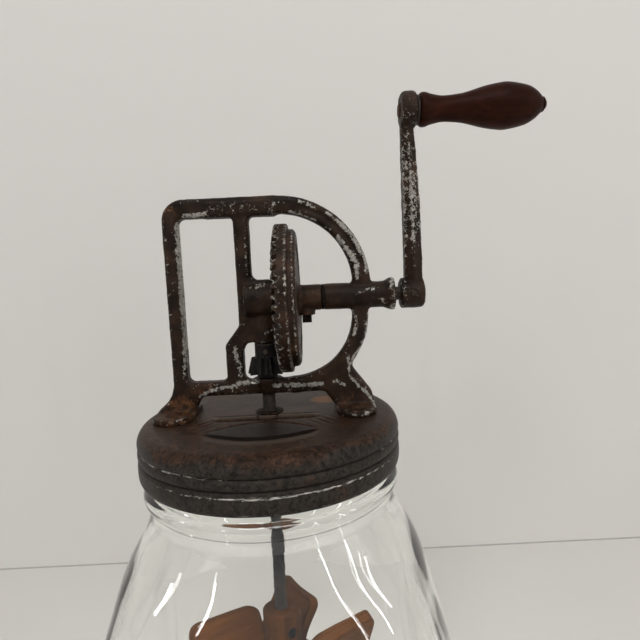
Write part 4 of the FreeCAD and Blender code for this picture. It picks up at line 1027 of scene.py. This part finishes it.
class CHURN_OT_fittings(bpy.types.Operator):
    """Finish the shaft, rivets, washers, pins, nails, ferrule and seal"""
    bl_idname = "churn.fittings"
    bl_label = "Fittings"

    def execute(self, context):
        dark = finish_steel("dark_iron", tone(24, 20, 18), 0.2, 0.5)
        finishes = {
            finish_steel("bare_steel", tone(66, 60, 54)): [
                "crank_shaft", "crank_pin", "grip_washer", "pinion_pin", "spindle_washer"],
            finish_steel("rusted_rivet", tone(66, 46, 33), 0.8, 0.5): [
                "frame_rivets", "rivet_burrs", "grip_rivet"],
            dark: ["gear_set_screw", "blade_nails"],
            # the ferrule's dark rusty tone: partly rust, partly painted shade for the shadow over
            # the stub above the lid
            finish_steel("ferrule_tin", tone(30, 24, 19), 0.5, 0.6): ["spindle_ferrule"],
            finish_rubber(): ["lid_seal"],
        }
        for material, nodes in finishes.items():
            for node in nodes:
                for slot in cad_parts[node].material_slots:
                    slot.material = material

        bore = (SHAFT_HIGH.y - SHAFT_LOW.y) / 2 / MM + SHAFT_GAP
        edge = (WASHER_HIGH.y - WASHER_LOW.y) / 2 / MM
        front, back = -WASHER_LAP, (WASHER_HIGH.x - WASHER_LOW.x) / MM + WASHER_LAP
        profile = [(bore, front), (edge, front), (edge, back), (bore, back)]
        washer = spun_across("thrust_washer", profile, 64, WASHER_LOW, WASHER_HIGH)
        # painted shade: the washer gets the dark iron so that the narrow gap between the gear and
        # the bearing reads dark
        store(washer, "crank", "bare_steel", dark, "thrust_washer")

        shape = bmesh.new()
        for radius, start, end in NAIL_PARTS:
            bmesh.ops.create_cone(
                shape, cap_ends=True, segments=32, depth=(end - start) * MM,
                radius1=radius * MM, radius2=radius * MM,
                matrix=Matrix.Translation((0, (start + end) / 2 * MM, 0))
                @ Matrix.Rotation(math.pi / 2, 4, "X"))
        bmesh.ops.transform(shape, verts=shape.verts,
                            matrix=Matrix.Translation((0, 0, LID_TOP - NAIL_DROP * MM))
                            @ Matrix.Rotation(math.radians(NAIL_TURN), 4, "Z"))
        store(outward("hub_nail_skin", shape), "dasher", "dark_iron", dark, "hub_nail")
        return {"FINISHED"}


# Stage


def lamp(name, place, target, size, energy):
    light = bpy.data.lights.new(name, "AREA")
    light.shape = "RECTANGLE"
    light.size, light.size_y = size
    light.energy = energy
    holder = linked(name, light)
    holder.location = place
    holder.rotation_euler = (Vector(target) - Vector(place)).to_track_quat("-Z", "Y").to_euler()


def stage_piece(name, shape, material):
    """Stands a bmesh on the stage, where it is no part of the churn."""
    mesh = as_mesh(name, shape)
    mesh.materials.append(material)
    piece = linked(name, mesh)
    return piece


STAGE_HALF = 4.0
WALL_BACK = 0.237
SEAM = (STAGE_HALF * 2, 0.001, 0.0012)  # the dark line where the wall meets the table
ROOM_LIGHT = (0.93, 0.96, 1.0)
ROOM_STRENGTH = 0.28
RAY_STRENGTH = {"Is Transmission Ray": 0.6, "Is Glossy Ray": -0.14, "Is Camera Ray": 0.38}
STRIP_REACH = 1.6
STRIPS = [  # bearing from the viewer, height, length, width, power: streaks in the glass
    (-37, 0.80, 0.55, 0.04, 1.6),
    (-74, 0.80, 0.22, 0.10, 1.5),
    (38, 0.70, 0.95, 0.03, 2.0),
    (63, 0.72, 0.85, 0.04, 2.2),
    (75, 0.85, 0.45, 0.06, 1.2),
]
SENSOR, LENS = 36.0, 27.06
YAW, PITCH, ROLL = 0.3, 5.46, 2.7  # to the right, down and clockwise, in degrees


def set_room(scene):
    """Even light all round, stronger or weaker for some kinds of ray."""
    scene.world = bpy.data.worlds.new("room")
    scene.world.use_nodes = True
    room = Nodes(scene.world.node_tree)
    rays = room.add("ShaderNodeLightPath").outputs
    strength = ROOM_STRENGTH
    for ray, share in RAY_STRENGTH.items():
        strength = room.sums("MULTIPLY_ADD", rays[ray], share, strength)
    background = room.tree.nodes["Background"]
    room.put(background.inputs["Color"], ROOM_LIGHT)
    room.put(background.inputs["Strength"], strength)


def set_camera(scene):
    """Looks at the churn as the photograph does."""
    sizes = scene.churn_sizes
    camera = bpy.data.cameras.new("camera")
    camera.sensor_width = SENSOR
    camera.lens = LENS
    camera.clip_start = 0.01
    scene.camera = linked("camera", camera)
    view = Matrix.Translation((sizes.camera_side, -sizes.camera_back,
                               LID_RIM + sizes.camera_rise))
    for angle, axis in ((-YAW, "Z"), (90.0 - PITCH, "X"), (-ROLL, "Z")):
        view @= Matrix.Rotation(math.radians(angle), 4, axis)
    scene.camera.matrix_world = view


class CHURN_OT_stage(bpy.types.Operator):
    """Set up the table, the wall, the lamps and the camera"""
    bl_idname = "churn.stage"
    bl_label = "Stage"

    def execute(self, context):
        scene = context.scene
        paint = finish_wall()
        for name, back, turn in (("floor", 0.0, 0.0), ("wall", WALL_BACK, 90.0)):
            shape = bmesh.new()
            bmesh.ops.create_grid(shape, x_segments=1, y_segments=1, size=STAGE_HALF,
                                  matrix=Matrix.Translation((0, back, 0))
                                  @ Matrix.Rotation(math.radians(turn), 4, "X"))
            stage_piece(name, shape, paint)

        dim = Finish("wall_seam")
        dim.set(Base_Color=shade(scene.churn_colours.wall, 0.62), Roughness=0.9)
        shape = bmesh.new()
        bmesh.ops.create_cube(shape, size=1.0,
                              matrix=Matrix.Translation((0, WALL_BACK - 0.0008, 0.0004))
                              @ Matrix.Diagonal((*SEAM, 1.0)))
        seam = stage_piece("seam", shape, dim.material)
        for ray in ("diffuse", "glossy", "transmission", "shadow"):
            setattr(seam, f"visible_{ray}", False)

        set_room(scene)
        lamp("ceiling", (0.0, -1.3, 1.75), (0, 0, 0.25), (1.6, 0.5), 21)
        for number, (bearing, middle, tall, wide, energy) in enumerate(STRIPS, start=1):
            turn = math.radians(bearing)
            place = (STRIP_REACH * math.sin(turn), -STRIP_REACH * math.cos(turn), middle)
            lamp(f"strip_{number}", place, (0, 0, 0.17), (wide, tall), energy)
        set_camera(scene)
        scene.view_settings.view_transform = "Standard"
        return {"FINISHED"}


class CHURN_PT_sidebar(bpy.types.Panel):
    """Lists the churn's sizes, colours and pieces"""
    bl_idname = "CHURN_PT_sidebar"
    bl_label = "Glass butter churn"
    bl_space_type = "VIEW_3D"
    bl_region_type = "UI"
    bl_category = "Churn"

    def draw(self, context):
        for group in (context.scene.churn_sizes, context.scene.churn_colours):
            box = self.layout.box()
            for name in group.__annotations__:
                box.prop(group, name)
        for operator in OPERATORS:
            self.layout.operator(operator.bl_idname)


OPERATORS = (CHURN_OT_glass_jar, CHURN_OT_screw_lid, CHURN_OT_gear_frame, CHURN_OT_gears,
             CHURN_OT_crank, CHURN_OT_dasher, CHURN_OT_fittings, CHURN_OT_stage)
CLASSES = (ChurnSizes, ChurnColours, *OPERATORS, CHURN_PT_sidebar)


def register():
    for item in CLASSES:
        bpy.utils.register_class(item)
    bpy.types.Scene.churn_sizes = bpy.props.PointerProperty(type=ChurnSizes)
    bpy.types.Scene.churn_colours = bpy.props.PointerProperty(type=ChurnColours)


def unregister():
    del bpy.types.Scene.churn_colours
    del bpy.types.Scene.churn_sizes
    for item in reversed(CLASSES):
        bpy.utils.unregister_class(item)


def main():
    register()
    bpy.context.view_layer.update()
    for operator in OPERATORS:
        group, name = operator.bl_idname.split(".")
        getattr(getattr(bpy.ops, group), name)()
    bpy.context.view_layer.update()


if __name__ == "__main__":
    main()
